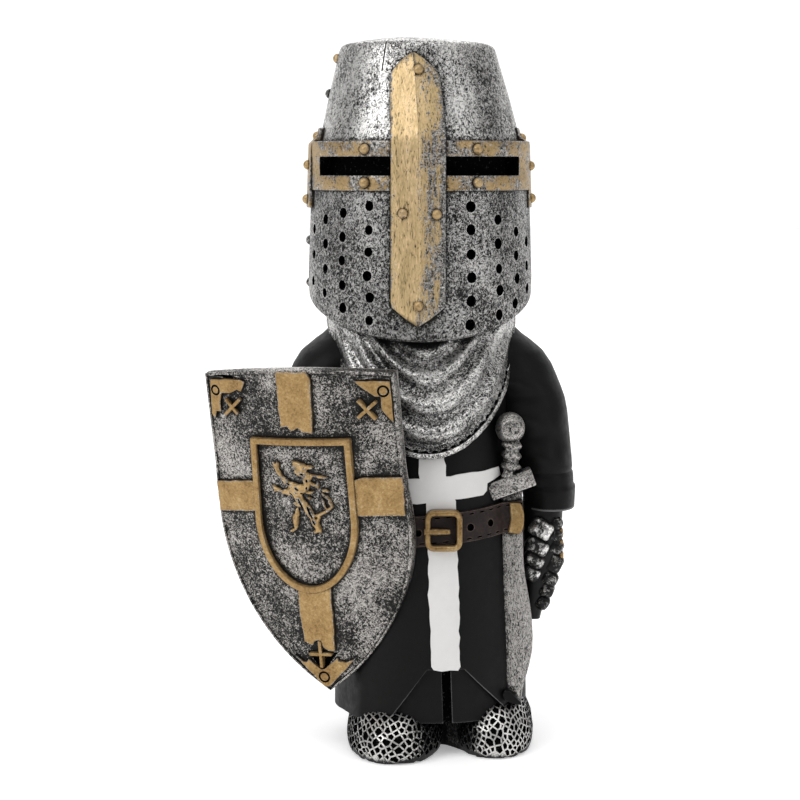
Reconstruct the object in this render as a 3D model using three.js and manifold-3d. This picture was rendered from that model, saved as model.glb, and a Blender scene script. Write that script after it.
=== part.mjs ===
// Small cast figure of a knight: great helm, mail cowl, black surcoat, sheathed sword and heater shield.
// Millimetres, +Z up. The front faces -Y, and the origin is under the middle of the two soles.

import * as THREE from 'three';
import { mergeVertices } from 'three/addons/utils/BufferGeometryUtils.js';
import Module from 'manifold-3d';

const wasm = await Module();
wasm.setup();

// Helm
const HEIGHT = 150;
const HELM = {
  x: -3.9, y: 0, rimFront: 87.6, rimSide: 96.8, chin: 100, brow: 128.4, crown: 147.6, lean: -0.6,
  rimRadius: 23.5, chinRadius: 23.9, browRadius: 22.9, coneBase: 21.4, crownRadius: 16.5,
};
const DOME = {
  lean: { x: -3, y: -7 },
  rows: [{ share: 0.93, z: 148.75 }, { share: 0.62, z: 149.45 }, { share: 0.12, z: HEIGHT }],
};
const BAND = { proud: 0.75, from: 6, reach: 77, upper: 125.2, lower: 118.3, height: 3.3, lap: 1 };
const FLARE = { from: 75, to: 87, bottom: 114.6, top: 131.4, left: 0.9, right: 0.45 };
const SLIT = { from: 9, left: 63, right: 60, bottom: 121.4, top: 125.3, depth: 2.6 };
const NASAL = {
  x: -4.5, lean: -1, top: 146.4, shoulder: 141.9, foot: 94.9, tip: 90.9, half: 5.6, ridge: 0.95,
};
const NASAL_FACE = [
  { z: 90.9, radius: 24.5 }, { z: 94.9, radius: 24.4 }, { z: 112, radius: 24.4 }, { z: 129.2, radius: 24.5 },
  { z: 133, radius: 23 }, { z: 141.9, radius: 19.2 }, { z: 146.4, radius: 17.9 },
];
const BREATH = { radius: 1.05, depth: 1.5 };
const BREATH_COLUMNS = [
  { turn: -27, top: 115.1, count: 6, pitch: 4.65 }, { turn: -43, top: 113.7, count: 5, pitch: 4.9 },
  { turn: -57, top: 112.4, count: 4, pitch: 5.1 }, { turn: -71, top: 110.2, count: 3, pitch: 5.4 },
  { turn: 25.5, top: 115.1, count: 6, pitch: 4.8 }, { turn: 43, top: 112.4, count: 5, pitch: 4.9 },
  { turn: 57, top: 109.9, count: 4, pitch: 4.95 }, { turn: 71, top: 107.6, count: 3, pitch: 5 },
];
const RIVET = 1.05;
const HELM_RIVETS = [
  { turn: -29, z: 126.8, proud: 0.75 }, { turn: 29, z: 126.8, proud: 0.75 },
  { turn: -29, z: 120, proud: 0.75 }, { turn: 29, z: 120, proud: 0.75 },
  { turn: -82, z: 129.6, proud: 0.8 }, { turn: -82, z: 123.6, proud: 0.9 },
  { turn: -82, z: 116.4, proud: 0.9 }, { turn: 82, z: 129.2, proud: 0.4 },
  { turn: 82, z: 123.4, proud: 0.4 }, { turn: 82, z: 116.6, proud: 0.4 },
  { turn: -90, z: 146, proud: 0 }, { turn: -91, z: 138.6, proud: -0.1 }, { turn: -91, z: 107.6, proud: -0.2 },
];
const NASAL_RIVETS = [
  { across: 0, z: 142.8 }, { across: -3.1, z: 113.8 }, { across: 3.7, z: 113.6 }, { across: 0, z: 95.1 },
];

// Cowl, surcoat and hem
const COWL = {
  front: 63.4, side: 92.5, back: 73, neck: 94, rim: 0.7, swell: 3, proud: 1.2,
  fold: 0.9, folds: 5.2, run: 30, slope: 1.49, throat: 1.5, throatShift: 0.7,
};
const BODY = [
  { z: 7.6, half: 21.2, front: 23.4, back: 18.5, x: -1.1 },
  { z: 20, half: 20.4, front: 23.2, back: 18, x: -1.4 },
  { z: 48, half: 18.7, front: 22.4, back: 16.6, x: -1.9 },
  { z: 64, half: 18.3, front: 21.4, back: 16.2, x: -2.5 },
  { z: 80, half: 18.6, front: 18.6, back: 15.4, x: -3 },
  { z: 90, half: 12.5, front: 13, back: 11, x: -3.5 },
];
const SKIRT_FOLD = 0.3;
const OPENING = { apex: 19.2, left: -2.6, right: 5.2, footLeft: -11, footRight: 16, depth: 1.1 };
const TUNIC_SLIT = { x: 1.7, width: 1.9, top: 19.6, depth: 2.2 };
const HEM_FLAP = {
  outline: [[14.1, 14.2], [13.2, 12.2], [15.6, 10.7], [17.5, 10.6], [17.3, 11.2]], near: -19.3, far: -12,
};

// Sleeves and gauntlets
const BODY_MIDDLE = -3.4;
const SLEEVE = [
  { z: 50.6, out: 27.5, half: 5, depth: 9.4, y: -1.5 },
  { z: 54.8, out: 27.3, half: 5.5, depth: 9.7, y: -1.5 },
  { z: 63, out: 25.2, half: 6.9, depth: 10, y: -1 },
  { z: 74, out: 22, half: 9, depth: 10.6, y: 0 },
  { z: 84, out: 16, half: 10.6, depth: 10.4, y: 0.5 },
  { z: 90, out: 10, half: 8, depth: 8, y: 1 },
];
const CUFF = { top: 55.2, proud: 0.4 };
const LEFT_REACH = 5;
const HAND = [
  { z: 26.2, x: 20.5, half: 1.7, depth: 3.8 },
  { z: 31, x: 20.9, half: 2.8, depth: 4.9 },
  { z: 36, x: 21.9, half: 3.7, depth: 5.8 },
  { z: 44, x: 22.5, half: 4.4, depth: 6.4 },
  { z: 52, x: 22.6, half: 4.5, depth: 6.4 },
];
const HAND_Y = -2.5;
const GRIP = { place: [-28, -12, 47], size: [5.5, 8.5, 6] };
const FINGERS = [
  { place: [21.9, -8.9, 46.4], size: [5, 3.4, 4.2], turn: 34 },
  { place: [21, -8.9, 42.7], size: [5.1, 3.4, 3.6], turn: 30 },
  { place: [20.4, -8.7, 39.8], size: [4.6, 3.2, 3.2], turn: 30 },
  { place: [19.8, -8.2, 36.9], size: [4.2, 3, 3.5], turn: 34 },
  { place: [25, -6.6, 47.2], size: [3.4, 4.2, 3], turn: 20 },
  { place: [25, -6.2, 43.4], size: [3.8, 4.4, 4.4], turn: 22 },
  { place: [24.8, -6, 38.3], size: [3.6, 4.4, 3.8], turn: 28 },
  { place: [23.7, -6.1, 34.4], size: [3.5, 4.2, 4.2], turn: 26 },
  { place: [22.6, -5.8, 30.2], size: [2.8, 3.6, 3.2], turn: 32 },
];

// Belt, buckle, sword and cross
const BELT = { z: 48.5, rise: 2.1, half: 3.15, proud: 1 };
const BUCKLE = {
  x: 0.8, z: 48.7, width: 7.7, height: 8.5, bar: 1.15, depth: 1.6, corner: 1.9, innerCorner: 0.9,
};
const BELT_HOLE = { radius: 0.78, depth: 0.8, drop: 0.25, turns: [-5.5, 22, 37] };
const BELT_TIP = { from: 14.5, to: 17.8, z: 50, half: 3.35, corner: 1, proud: 1.6 };
const SWORD = {
  x: 15.7, y: -13.6, pommelX: 14.8, pommelZ: 69, pommel: 3.35, gripX: 15.1, gripTop: 67, gripFoot: 58,
};
const GUARD = { x: 15.1, z: 57.2, length: 9.8, height: 3.7, depth: 4.4, slant: 20 };
const SCABBARD = {
  x: 15.2, half: 2.25, depth: 1.8, top: 56, foot: 12.2, lean: 1.2, cut: 2, ridge: 0.7, back: 0.9, belly: 1.4,
  taper: 1.6, taperTop: 21,
};
const CROSS = {
  proud: 0.5, topHalf: 2.7, bottomHalf: 3.05, topX: -1.8, bottomX: 1.35, top: 66, bottom: 19.2,
  armZ: 57.1, armHalf: 2.55, armLeft: -14, armRight: 12.9, armStep: 3.2, armRise: 0.09,
};

// Shield, in its own frame: across, up and out from the middle of the top edge
const SHIELD = {
  place: [-30.1, -28.3, 81.3], yaw: 20.6, pitch: 12, roll: 0.9,
  width: 42, length: 69.8, straight: 30.7, bow: 74, thick: 2.2, swell: 0.7, skew: 1.2, arch: 1.6, slope: 0.5,
};
const SHIELD_CUT = { back: -22, deep: 30 };
const SHIELD_RIM = { width: 0.7, proud: 0.25 };
const SHIELD_CROSS = { middle: 26.5, proud: 0.7 };
const CROSS_ARMS = [
  [-20.9, -24.4], [-20.9, -31], [-11.9, -29.9], [11.4, -30],
  [20.9, -30.3], [20.9, -22], [13.6, -21.7], [-12.2, -23.3],
];
const CROSS_HEAD = [[-3.4, 0.8], [-3.5, -11.4], [3.5, -12], [4.1, -0.6], [3.4, 0.9]];
const CROSS_FOOT = [[-3.6, -44], [-3.8, -51.8], [-3.4, -58.8], [0, -58.3], [3.3, -60.5], [3.9, -44]];
const ESCUTCHEON = {
  top: 13.4, width: 22.7, length: 33.9, straight: 18, bar: 1.35, proud: 1.2, x: 0.25, lean: -1,
};
const CHARGE = 0.65;
const BRACKETS = [
  [[13.1, -1.2], [20.2, -1.6], [20.2, -10.3], [18.1, -7.4], [18.2, -4.6], [15.5, -3.4]],
  [[-19.5, -1.9], [-10.9, -1.6], [-13, -3.7], [-17, -4.6], [-17.6, -8.7], [-19.4, -10.4], [-20.1, -9.4]],
];
const CHEVRON = [
  [-6.2, -62.1], [-3.4, -63.4], [-0.3, -64.9], [0.5, -64.8], [3.6, -62.1], [5.4, -63],
  [8, -61.7], [1.3, -68.7], [0.2, -68.8],
];
const LINE = 0.75;
const LINES = [
  { x: 15.3, y: -7.2, length: 5.4, turn: -52 }, { x: 15.3, y: -7.2, length: 5.2, turn: 40 },
  { x: -14.6, y: -7.2, length: 4.1, turn: -49 }, { x: -14.4, y: -7.3, length: 5.6, turn: 42 },
  { x: 0.1, y: -61.3, length: 6.1, turn: 90 }, { x: 0.1, y: -61.3, length: 5.2, turn: 3 },
];
const LION = [
  [-6.5, 7.4, -4.6, 4, 1.1], [-4.6, 4.2, -0.9, 2.6, 1.4], [-7.3, 2.3, -4.9, 1.3, 1],
  [-4.9, 1.3, -2.2, 1.2, 1.6], [-1.8, 7.4, 2, 6.7, 1.8], [-0.5, 6, 1, 4.8, 2.1],
  [1.8, 5.1, 5.2, 4.7, 0.7], [-3.2, 1.3, 0.5, 2.7, 2.6], [-2.2, 1.2, -0.8, -1.1, 2.3],
  [-0.7, -0.6, 1.1, -4, 2], [0.9, -3.8, 2.4, -6.9, 1.6], [-2, -2.3, -3, -6.6, 1.3],
  [1.9, -3.7, 4.2, -2.8, 0.8], [4.2, -2.8, 5.7, -1.5, 0.8], [5.7, -1.5, 4.6, 0.9, 0.8],
];

// Boots
const BOOTS = [
  { x: -9.3, half: 10.4, toe: -27.8, heel: 13, top: 12 },
  { x: 11.8, half: 8.8, toe: -23.4, heel: 14, top: 12.8 },
];
const SOLE_WEB = {
  front: [[-9, -24], [-3.5, -17.2], [-1, -12.2], [0.95, -10.9], [3.4, -13.6], [7.2, -18.9], [11.8, -21]],
  back: [[12, 12], [-10, 12]],
  top: 7.4,
};

const FACETS = { body: 30, cowl: 28, helm: 34, bandStep: 12, small: 5 };

const radians = (degrees) => THREE.MathUtils.degToRad(degrees);
const mix = THREE.MathUtils.lerp;

// A manifold solid from a closed three.js geometry.
function solid(geometry) {
  const bare = geometry.clone();
  bare.deleteAttribute('normal');
  bare.deleteAttribute('uv');
  const merged = mergeVertices(bare, 1e-4);
  return new wasm.Manifold(new wasm.Mesh({
    numProp: 3,
    vertProperties: new Float32Array(merged.attributes.position.array),
    triVerts: new Uint32Array(merged.index.array),
  }));
}

function join(solids) {
  return solids.reduce((whole, piece) => whole.add(piece));
}

// Values of a row of stations at a height, eased between the two nearest.
function atHeight(stations, z) {
  const last = stations.length - 1;
  let i = 0;
  while (i < last - 1 && z > stations[i + 1].z) {
    i += 1;
  }
  const low = stations[i];
  const high = stations[i + 1];
  const t = THREE.MathUtils.clamp((z - low.z) / (high.z - low.z), 0, 1);
  return Object.fromEntries(Object.keys(low).map((key) => [key, mix(low[key], high[key], t)]));
}

// Stacked rings from bottom to top, closed at both ends: place(turn, level) gives a point of a ring.
function rings(levels, segments, place) {
  const profile = [new THREE.Vector2(0, 0)];
  for (let level = 0; level < levels; level += 1) {
    profile.push(new THREE.Vector2(1, level));
  }
  profile.push(new THREE.Vector2(0, levels - 1));
  const geometry = new THREE.LatheGeometry(profile, segments);
  geometry.rotateX(Math.PI / 2);
  const position = geometry.attributes.position;
  for (let i = 0; i < position.count; i += 1) {
    const x = position.getX(i);
    const y = position.getY(i);
    const level = Math.round(position.getZ(i));
    const point = Math.hypot(x, y) > 0.5 ? place(Math.atan2(x, -y), level) : middle(segments, level, place);
    position.setXYZ(i, point.x, point.y, point.z);
  }
  return solid(geometry);
}

function middle(segments, level, place) {
  const sum = new THREE.Vector3();
  for (let i = 0; i < segments; i += 1) {
    sum.add(place((i / segments) * 2 * Math.PI, level));
  }
  return sum.divideScalar(segments);
}

// A point on an oval with squarish sides; turn 0 is the front, and a positive turn goes to +X.
function oval(turn, half, front, back, squareness = 2.3) {
  const side = Math.sin(turn);
  const ahead = Math.cos(turn);
  const power = 2 / squareness;
  const depth = ahead > 0 ? front : back;
  return new THREE.Vector3(
    half * Math.sign(side) * Math.abs(side) ** power,
    -depth * Math.sign(ahead) * Math.abs(ahead) ** power,
    0,
  );
}

// A box of a grid of cells, bent by a function of its corner shares from 0 to 1.
function bentBox(cellsX, cellsY, cellsZ, place) {
  const geometry = new THREE.BoxGeometry(1, 1, 1, cellsX, cellsY, cellsZ);
  geometry.translate(0.5, 0.5, 0.5);
  const position = geometry.attributes.position;
  for (let i = 0; i < position.count; i += 1) {
    const point = place(position.getX(i), position.getY(i), position.getZ(i));
    position.setXYZ(i, point.x, point.y, point.z);
  }
  return solid(geometry);
}

function box(width, depth, height, x, y, z) {
  const geometry = new THREE.BoxGeometry(width, depth, height);
  geometry.translate(x, y, z);
  return solid(geometry);
}

function ball(radius, x, y, z, rows = 3, columns = FACETS.small) {
  const geometry = new THREE.SphereGeometry(radius, columns, rows);
  geometry.translate(x, y, z);
  return solid(geometry);
}

function extruded(outline, depth, curveSegments) {
  return new THREE.ExtrudeGeometry(outline, { depth, bevelEnabled: false, curveSegments });
}

function peg(radius, length) {
  return new THREE.CylinderGeometry(radius, radius, length, FACETS.small);
}

// A flat outline in X and Z pushed along Y, from one depth to another.
function slab(outline, near, far) {
  const geometry = extruded(outline, far - near, 1);
  geometry.rotateX(Math.PI / 2);
  geometry.translate(0, far, 0);
  return solid(geometry);
}

function outlineOf(corners) {
  return new THREE.Shape(corners.map(([x, z]) => new THREE.Vector2(x, z)));
}

// Helm

function helmRadius(z) {
  if (z > HELM.brow) {
    return mix(HELM.coneBase, HELM.crownRadius, (z - HELM.brow) / (HELM.crown - HELM.brow));
  }
  if (z > HELM.chin) {
    return mix(HELM.chinRadius, HELM.browRadius, (z - HELM.chin) / (HELM.brow - HELM.chin));
  }
  return mix(HELM.rimRadius, HELM.chinRadius, (z - HELM.rimFront) / (HELM.chin - HELM.rimFront));
}

function helmRim(turn) {
  return mix(HELM.rimFront, HELM.rimSide, 1 - Math.max(Math.cos(turn), 0));
}

function onHelm(turn, z, proud) {
  const radius = helmRadius(z) + proud;
  const lean = HELM.lean * THREE.MathUtils.clamp((z - HELM.brow) / (HELM.crown - HELM.brow), 0, 1);
  return new THREE.Vector3(HELM.x + lean + radius * Math.sin(turn), HELM.y - radius * Math.cos(turn), z);
}

function onDome(turn, share, z) {
  const edge = onHelm(turn, HELM.crown, 0);
  const middleX = HELM.x + HELM.lean + DOME.lean.x;
  return new THREE.Vector3(
    mix(middleX, edge.x, share),
    mix(HELM.y + DOME.lean.y, edge.y, share),
    z,
  );
}

function helmShell() {
  const step = 0.05;
  const lip = 0.4;
  const places = [
    (turn) => onHelm(turn, helmRim(turn), -0.5),
    (turn) => onHelm(turn, helmRim(turn) + lip, 0),
    (turn) => onHelm(turn, mix(helmRim(turn), HELM.brow, 0.3), 0),
    (turn) => onHelm(turn, HELM.brow, 0),
    (turn) => onHelm(turn, HELM.brow + step, 0),
    (turn) => onHelm(turn, HELM.crown, 0),
    ...DOME.rows.map(({ share, z }) => (turn) => onDome(turn, share, z)),
  ];
  return rings(places.length, FACETS.helm, (turn, level) => places[level](turn));
}

// A sector of a ring round the helm's axis, between two turns, raised between two heights.
function helmSector(inner, outer, from, to, bottom, top) {
  const start = radians(from - 90);
  const end = radians(to - 90);
  const shape = new THREE.Shape();
  shape.absarc(0, 0, outer, start, end, false);
  shape.absarc(0, 0, inner, end, start, true);
  const geometry = extruded(shape, top - bottom, Math.ceil((to - from) / FACETS.bandStep));
  geometry.translate(HELM.x, HELM.y, bottom);
  return solid(geometry);
}

function bothSides(make) {
  return [make(1), make(-1)];
}

function sideSector(side, inner, outer, from, to, bottom, top) {
  return helmSector(inner, outer, side > 0 ? from : -to, side > 0 ? to : -from, bottom, top);
}

function slitEnd(side) {
  return side > 0 ? SLIT.right : SLIT.left;
}

function browBands() {
  const outer = HELM.browRadius + BAND.proud;
  const inner = HELM.coneBase - 1;
  const { from, reach, upper, lower, height, lap } = BAND;
  const bands = bothSides((side) => join([
    sideSector(side, inner, outer, from, reach, upper, upper + height),
    sideSector(side, inner, outer, from, reach, lower, lower + height),
    sideSector(side, inner, outer, slitEnd(side) - lap, reach, lower + lap, upper + lap),
    flare(side),
  ]));
  return join(bands);
}

// The upright plate that ends the bands at the side, lying back on the cone above the brow.
function flare(side) {
  const heights = [FLARE.bottom, HELM.brow - 0.4, HELM.brow + 1.4, FLARE.top];
  const proud = side > 0 ? FLARE.right : FLARE.left;
  return bentBox(2, 1, heights.length - 1, (across, deep, up) => {
    const z = heights[Math.round(up * (heights.length - 1))];
    const turn = side * radians(mix(FLARE.from, FLARE.to, side > 0 ? across : 1 - across));
    return onHelm(turn, z, mix(proud, -3, deep));
  });
}

function eyeSlits() {
  const inner = HELM.browRadius - SLIT.depth;
  const outer = HELM.browRadius + 3;
  return join(bothSides((side) => (
    sideSector(side, inner, outer, SLIT.from, slitEnd(side), SLIT.bottom, SLIT.top)
  )));
}

function nasalPlate() {
  const halfAt = (z) => {
    const upper = (NASAL.top - z) / (NASAL.top - NASAL.shoulder);
    const lower = (z - NASAL.tip) / (NASAL.foot - NASAL.tip);
    return 0.2 + (NASAL.half - 0.2) * THREE.MathUtils.clamp(Math.min(upper, lower), 0, 1);
  };
  const cells = NASAL_FACE.length - 1;
  return bentBox(2, 1, cells, (across, deep, up) => {
    const { z, radius } = NASAL_FACE[Math.round(up * cells)];
    const side = across * 2 - 1;
    const offset = side * halfAt(z);
    const reach = radius + NASAL.ridge * (1 - Math.abs(side));
    const lean = NASAL.lean * THREE.MathUtils.clamp((z - 128) / 18, 0, 1);
    const front = HELM.y - Math.sqrt(reach ** 2 - offset ** 2);
    return new THREE.Vector3(NASAL.x + lean + offset, mix(front, HELM.y - HELM.crownRadius + 5, deep), z);
  });
}

function breathHoles() {
  const holes = [];
  for (const { turn, top, count, pitch } of BREATH_COLUMNS) {
    for (let i = 0; i < count; i += 1) {
      const mouth = onHelm(radians(turn), top - i * pitch, 0);
      const geometry = peg(BREATH.radius, BREATH.depth * 2);
      geometry.rotateZ(radians(turn));
      geometry.translate(mouth.x, mouth.y, mouth.z);
      holes.push(solid(geometry));
    }
  }
  return join(holes);
}

function helmRivets() {
  const rivets = HELM_RIVETS.map(({ turn, z, proud }) => {
    const point = onHelm(radians(turn), z, proud);
    return ball(RIVET, point.x, point.y, z);
  });
  for (const { across, z } of NASAL_RIVETS) {
    const { radius } = atHeight(NASAL_FACE, z);
    const crest = NASAL.ridge * (1 - Math.abs(across) / NASAL.half);
    rivets.push(ball(RIVET, NASAL.x + across, HELM.y - radius - crest + 0.35, z));
  }
  return join(rivets);
}

function helm() {
  return helmShell()
    .subtract(eyeSlits())
    .add(browBands().subtract(eyeSlits()))
    .subtract(breathHoles())
    .add(nasalPlate())
    .add(helmRivets());
}

// Cowl

function cowl() {
  const shares = [0, 0.02, 0.045, 0.1, 0.16, 0.22, 0.28, 0.34, 0.4, 0.46, 0.52, 0.58, 0.66, 0.76, 0.88, 1];
  const edge = (turn) => (Math.cos(turn) > 0
    ? mix(COWL.side, COWL.front, Math.cos(turn))
    : mix(COWL.side, COWL.back, -Math.cos(turn)));
  return rings(shares.length, FACETS.cowl, (turn, level) => {
    const share = shares[level];
    const z = mix(edge(turn), COWL.neck, share);
    const size = atHeight(BODY, Math.min(z, 80));
    const high = THREE.MathUtils.clamp((z - COWL.front) / COWL.run, 0, 1);
    const swell = COWL.swell * Math.sin(Math.PI * Math.min(high * 1.2, 1)) + COWL.proud;
    const throat = THREE.MathUtils.clamp((z - 76) / 14, 0, 1);
    const inset = (z - edge(turn)) / Math.hypot(1, COWL.slope * Math.sin(turn));
    const wave = Math.sin(((inset + 2 + 1.2 * Math.sin(turn)) / COWL.run) * COWL.folds * 2 * Math.PI);
    const settled = THREE.MathUtils.clamp((inset - 1) / 2, 0, 1) * THREE.MathUtils.clamp((92 - z) / 8, 0, 1);
    const fold = COWL.fold * Math.sqrt(Math.max(Math.cos(turn), 0.2)) * wave * settled;
    const grow = (swell + fold + (level < 2 ? COWL.rim : 0)) * (share > 0.97 ? 0.6 : 1);
    const half = size.half + COWL.throat * throat + grow * 0.35;
    const point = oval(turn, half, size.front + grow, size.back + grow, 2.1);
    return new THREE.Vector3(size.x - COWL.throatShift * throat + point.x, point.y, z);
  });
}

// Surcoat

function onBody(turn, z, proud) {
  const size = atHeight(BODY, z);
  const skirt = THREE.MathUtils.clamp((40 - z) / 30, 0, 1);
  const fold = SKIRT_FOLD * skirt * Math.cos(turn * 9) * (Math.cos(turn) > 0.75 ? 0 : 1);
  const grow = proud + fold;
  const point = oval(turn, size.half + grow, size.front + grow, size.back + grow);
  return new THREE.Vector3(size.x + point.x, point.y, z);
}

function bodyCore(proud) {
  const heights = [BODY[0].z, 20, 34, 48, 56, 64, 72, 80, 90];
  return rings(heights.length, FACETS.body, (turn, level) => onBody(turn, heights[level], proud));
}

function surcoat() {
  const opening = slab(outlineOf([
    [OPENING.left, OPENING.apex], [OPENING.footLeft, BODY[0].z], [OPENING.footLeft, 0],
    [OPENING.footRight, 0], [OPENING.footRight, BODY[0].z], [OPENING.right, OPENING.apex],
  ]), -40, 0);
  const slit = box(
    TUNIC_SLIT.width, 20, TUNIC_SLIT.top,
    TUNIC_SLIT.x, -BODY[0].front + OPENING.depth + TUNIC_SLIT.depth - 10, TUNIC_SLIT.top / 2,
  );
  const flap = slab(outlineOf(HEM_FLAP.outline), HEM_FLAP.near, HEM_FLAP.far);
  return bodyCore(0).subtract(opening).add(bodyCore(-OPENING.depth)).subtract(slit).add(flap);
}

function surcoatCross() {
  const upright = outlineOf([
    [CROSS.topX - CROSS.topHalf, CROSS.top], [CROSS.bottomX - CROSS.bottomHalf, CROSS.bottom],
    [CROSS.bottomX + CROSS.bottomHalf, CROSS.bottom], [CROSS.topX + CROSS.topHalf, CROSS.top],
  ]);
  const rise = (x) => CROSS.armZ + CROSS.armRise * x;
  const arm = outlineOf([
    [CROSS.armLeft, rise(CROSS.armLeft) - CROSS.armHalf],
    [CROSS.armRight - CROSS.armStep, rise(CROSS.armRight) - CROSS.armHalf],
    [CROSS.armRight - CROSS.armStep, rise(CROSS.armRight)],
    [CROSS.armRight, rise(CROSS.armRight)],
    [CROSS.armRight, rise(CROSS.armRight) + CROSS.armHalf],
    [CROSS.armLeft, rise(CROSS.armLeft) + CROSS.armHalf],
  ]);
  return slab(upright, -40, -4).add(slab(arm, -40, -4)).intersect(bodyCore(CROSS.proud));
}

// Sleeves and hands

function sleeve(side) {
  const reach = side < 0 ? LEFT_REACH : 0;
  const heights = [SLEEVE[0].z, CUFF.top, CUFF.top + 0.05, 63, 74, 84, 87.5, 90];
  return rings(heights.length, 18, (turn, level) => {
    const z = heights[level];
    const size = atHeight(SLEEVE, z);
    const forward = reach * (1 - (z - SLEEVE[0].z) / (SLEEVE[SLEEVE.length - 1].z - SLEEVE[0].z));
    const proud = level < 2 ? CUFF.proud : 0;
    const point = oval(turn, size.half + proud, size.depth + proud, size.depth + proud, 2.2);
    return new THREE.Vector3(BODY_MIDDLE + side * size.out + point.x, size.y - forward + point.y, z);
  });
}

function rightHand() {
  const heights = [26.2, 31, 36, 44, 52];
  const glove = rings(heights.length, 12, (turn, level) => {
    const size = atHeight(HAND, heights[level]);
    const point = oval(turn, size.half, size.depth, size.depth, 3);
    return new THREE.Vector3(size.x + point.x, HAND_Y + point.y, heights[level]);
  });
  return glove.add(join(FINGERS.map(knuckle)));
}

function knuckle({ place, size, turn }) {
  const geometry = new THREE.SphereGeometry(0.62, 6, 3);
  geometry.scale(...size);
  geometry.rotateY(radians(turn));
  geometry.translate(...place);
  return solid(geometry);
}

// The far hand grips the back of the shield, out of sight from the front.
function leftHand() {
  const geometry = new THREE.SphereGeometry(1, 10, 6);
  geometry.scale(...GRIP.size);
  geometry.translate(...GRIP.place);
  return solid(geometry);
}

// Belt and buckle

function beltPoint(turn, share, proud) {
  const z = BELT.z + BELT.rise * Math.sin(turn) + (share * 2 - 1) * BELT.half;
  const point = onBody(turn, z, proud);
  if (point.x > BELT_TIP.from - 2 && point.y < 0 && point.x < SWORD.x + SCABBARD.half + 0.8) {
    point.y = Math.min(point.y, SWORD.y - SCABBARD.depth - 0.7 * proud);
  }
  return point;
}

function belt() {
  const strap = rings(4, FACETS.body, (turn, level) => beltPoint(turn, level / 3, BELT.proud));
  const { from, to, z, half, corner, proud } = BELT_TIP;
  const tipOutline = outlineOf([
    [from, z - half], [to - corner, z - half], [to, z - half + corner],
    [to, z + half - corner], [to - corner, z + half], [from, z + half],
  ]);
  const tip = slab(tipOutline, SWORD.y - SCABBARD.depth - proud, SWORD.y);
  const holes = BELT_HOLE.turns.map((degrees) => {
    const point = beltPoint(radians(degrees), 0.5, BELT.proud);
    const geometry = peg(BELT_HOLE.radius, 2 * BELT_HOLE.depth);
    geometry.translate(point.x, point.y, point.z - BELT_HOLE.drop);
    return solid(geometry);
  });
  return strap.subtract(join(holes)).add(tip);
}

function buckle() {
  const { x, z, width, height, bar, corner, innerCorner } = BUCKLE;
  const frame = rectangle(width, height, corner);
  frame.holes.push(rectangle(width - 2 * bar, height - 2 * bar, innerCorner));
  const geometry = extruded(frame, 4, 2);
  geometry.rotateX(Math.PI / 2);
  const front = -BODY[2].front - BELT.proud - BUCKLE.depth;
  geometry.translate(x, front + 4, z);
  const tongue = box(5.4, 3, 1.3, x - 1.35, front + 1.6, z - 0.2);
  return solid(geometry).add(tongue);
}

function rectangle(width, height, corner) {
  const x = width / 2;
  const y = height / 2;
  const shape = new THREE.Shape();
  shape.moveTo(-x + corner, -y);
  shape.lineTo(x - corner, -y);
  shape.quadraticCurveTo(x, -y, x, -y + corner);
  shape.lineTo(x, y - corner);
  shape.quadraticCurveTo(x, y, x - corner, y);
  shape.lineTo(-x + corner, y);
  shape.quadraticCurveTo(-x, y, -x, y - corner);
  shape.lineTo(-x, -y + corner);
  shape.quadraticCurveTo(-x, -y, -x + corner, -y);
  return shape;
}

// Sword

function sword() {
  const hiltY = SWORD.y - 1.6;
  const pommel = ball(SWORD.pommel, SWORD.pommelX, hiltY, SWORD.pommelZ, 6, 10);
  const ribs = 4;
  const points = [new THREE.Vector2(0, SWORD.gripFoot)];
  for (let i = 0; i < ribs * 2 + 1; i += 1) {
    points.push(new THREE.Vector2(i % 2 ? 2.1 : 1.6, mix(SWORD.gripFoot, SWORD.gripTop, i / (ribs * 2))));
  }
  points.push(new THREE.Vector2(0, SWORD.gripTop));
  const gripGeometry = new THREE.LatheGeometry(points, 8);
  gripGeometry.rotateX(Math.PI / 2);
  gripGeometry.translate(SWORD.gripX, hiltY, 0);
  const guardGeometry = new THREE.BoxGeometry(GUARD.length, GUARD.depth, GUARD.height);
  guardGeometry.rotateY(-radians(GUARD.slant));
  guardGeometry.translate(GUARD.x, hiltY, GUARD.z);
  const scabbard = bentBox(2, 1, 5, (across, deep, up) => {
    const z = mix(SCABBARD.foot, SCABBARD.top, up) - (up < 0.1 ? across * SCABBARD.cut : 0);
    const along = THREE.MathUtils.clamp((z - SCABBARD.foot + 2) / 30, 0, 1);
    const below = THREE.MathUtils.clamp((SCABBARD.taperTop - z) / (SCABBARD.taperTop - SCABBARD.foot), 0, 1);
    const belly = SCABBARD.belly * Math.sin(Math.PI * along) ** 1.5 - SCABBARD.taper * below;
    const over = across === 0.5 ? SCABBARD.ridge : across;
    const turned = across === 1 ? SCABBARD.back * (1 - deep) : 0;
    return new THREE.Vector3(
      SCABBARD.x + SCABBARD.lean * (1 - up) + (over * 2 - 1) * SCABBARD.half + belly * over,
      SWORD.y + (deep * 2 - 1) * SCABBARD.depth - 1.5 * (1 - up) + deep * 6 + turned,
      z,
    );
  });
  return join([pommel, solid(gripGeometry), solid(guardGeometry), scabbard]);
}

// Shield

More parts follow.
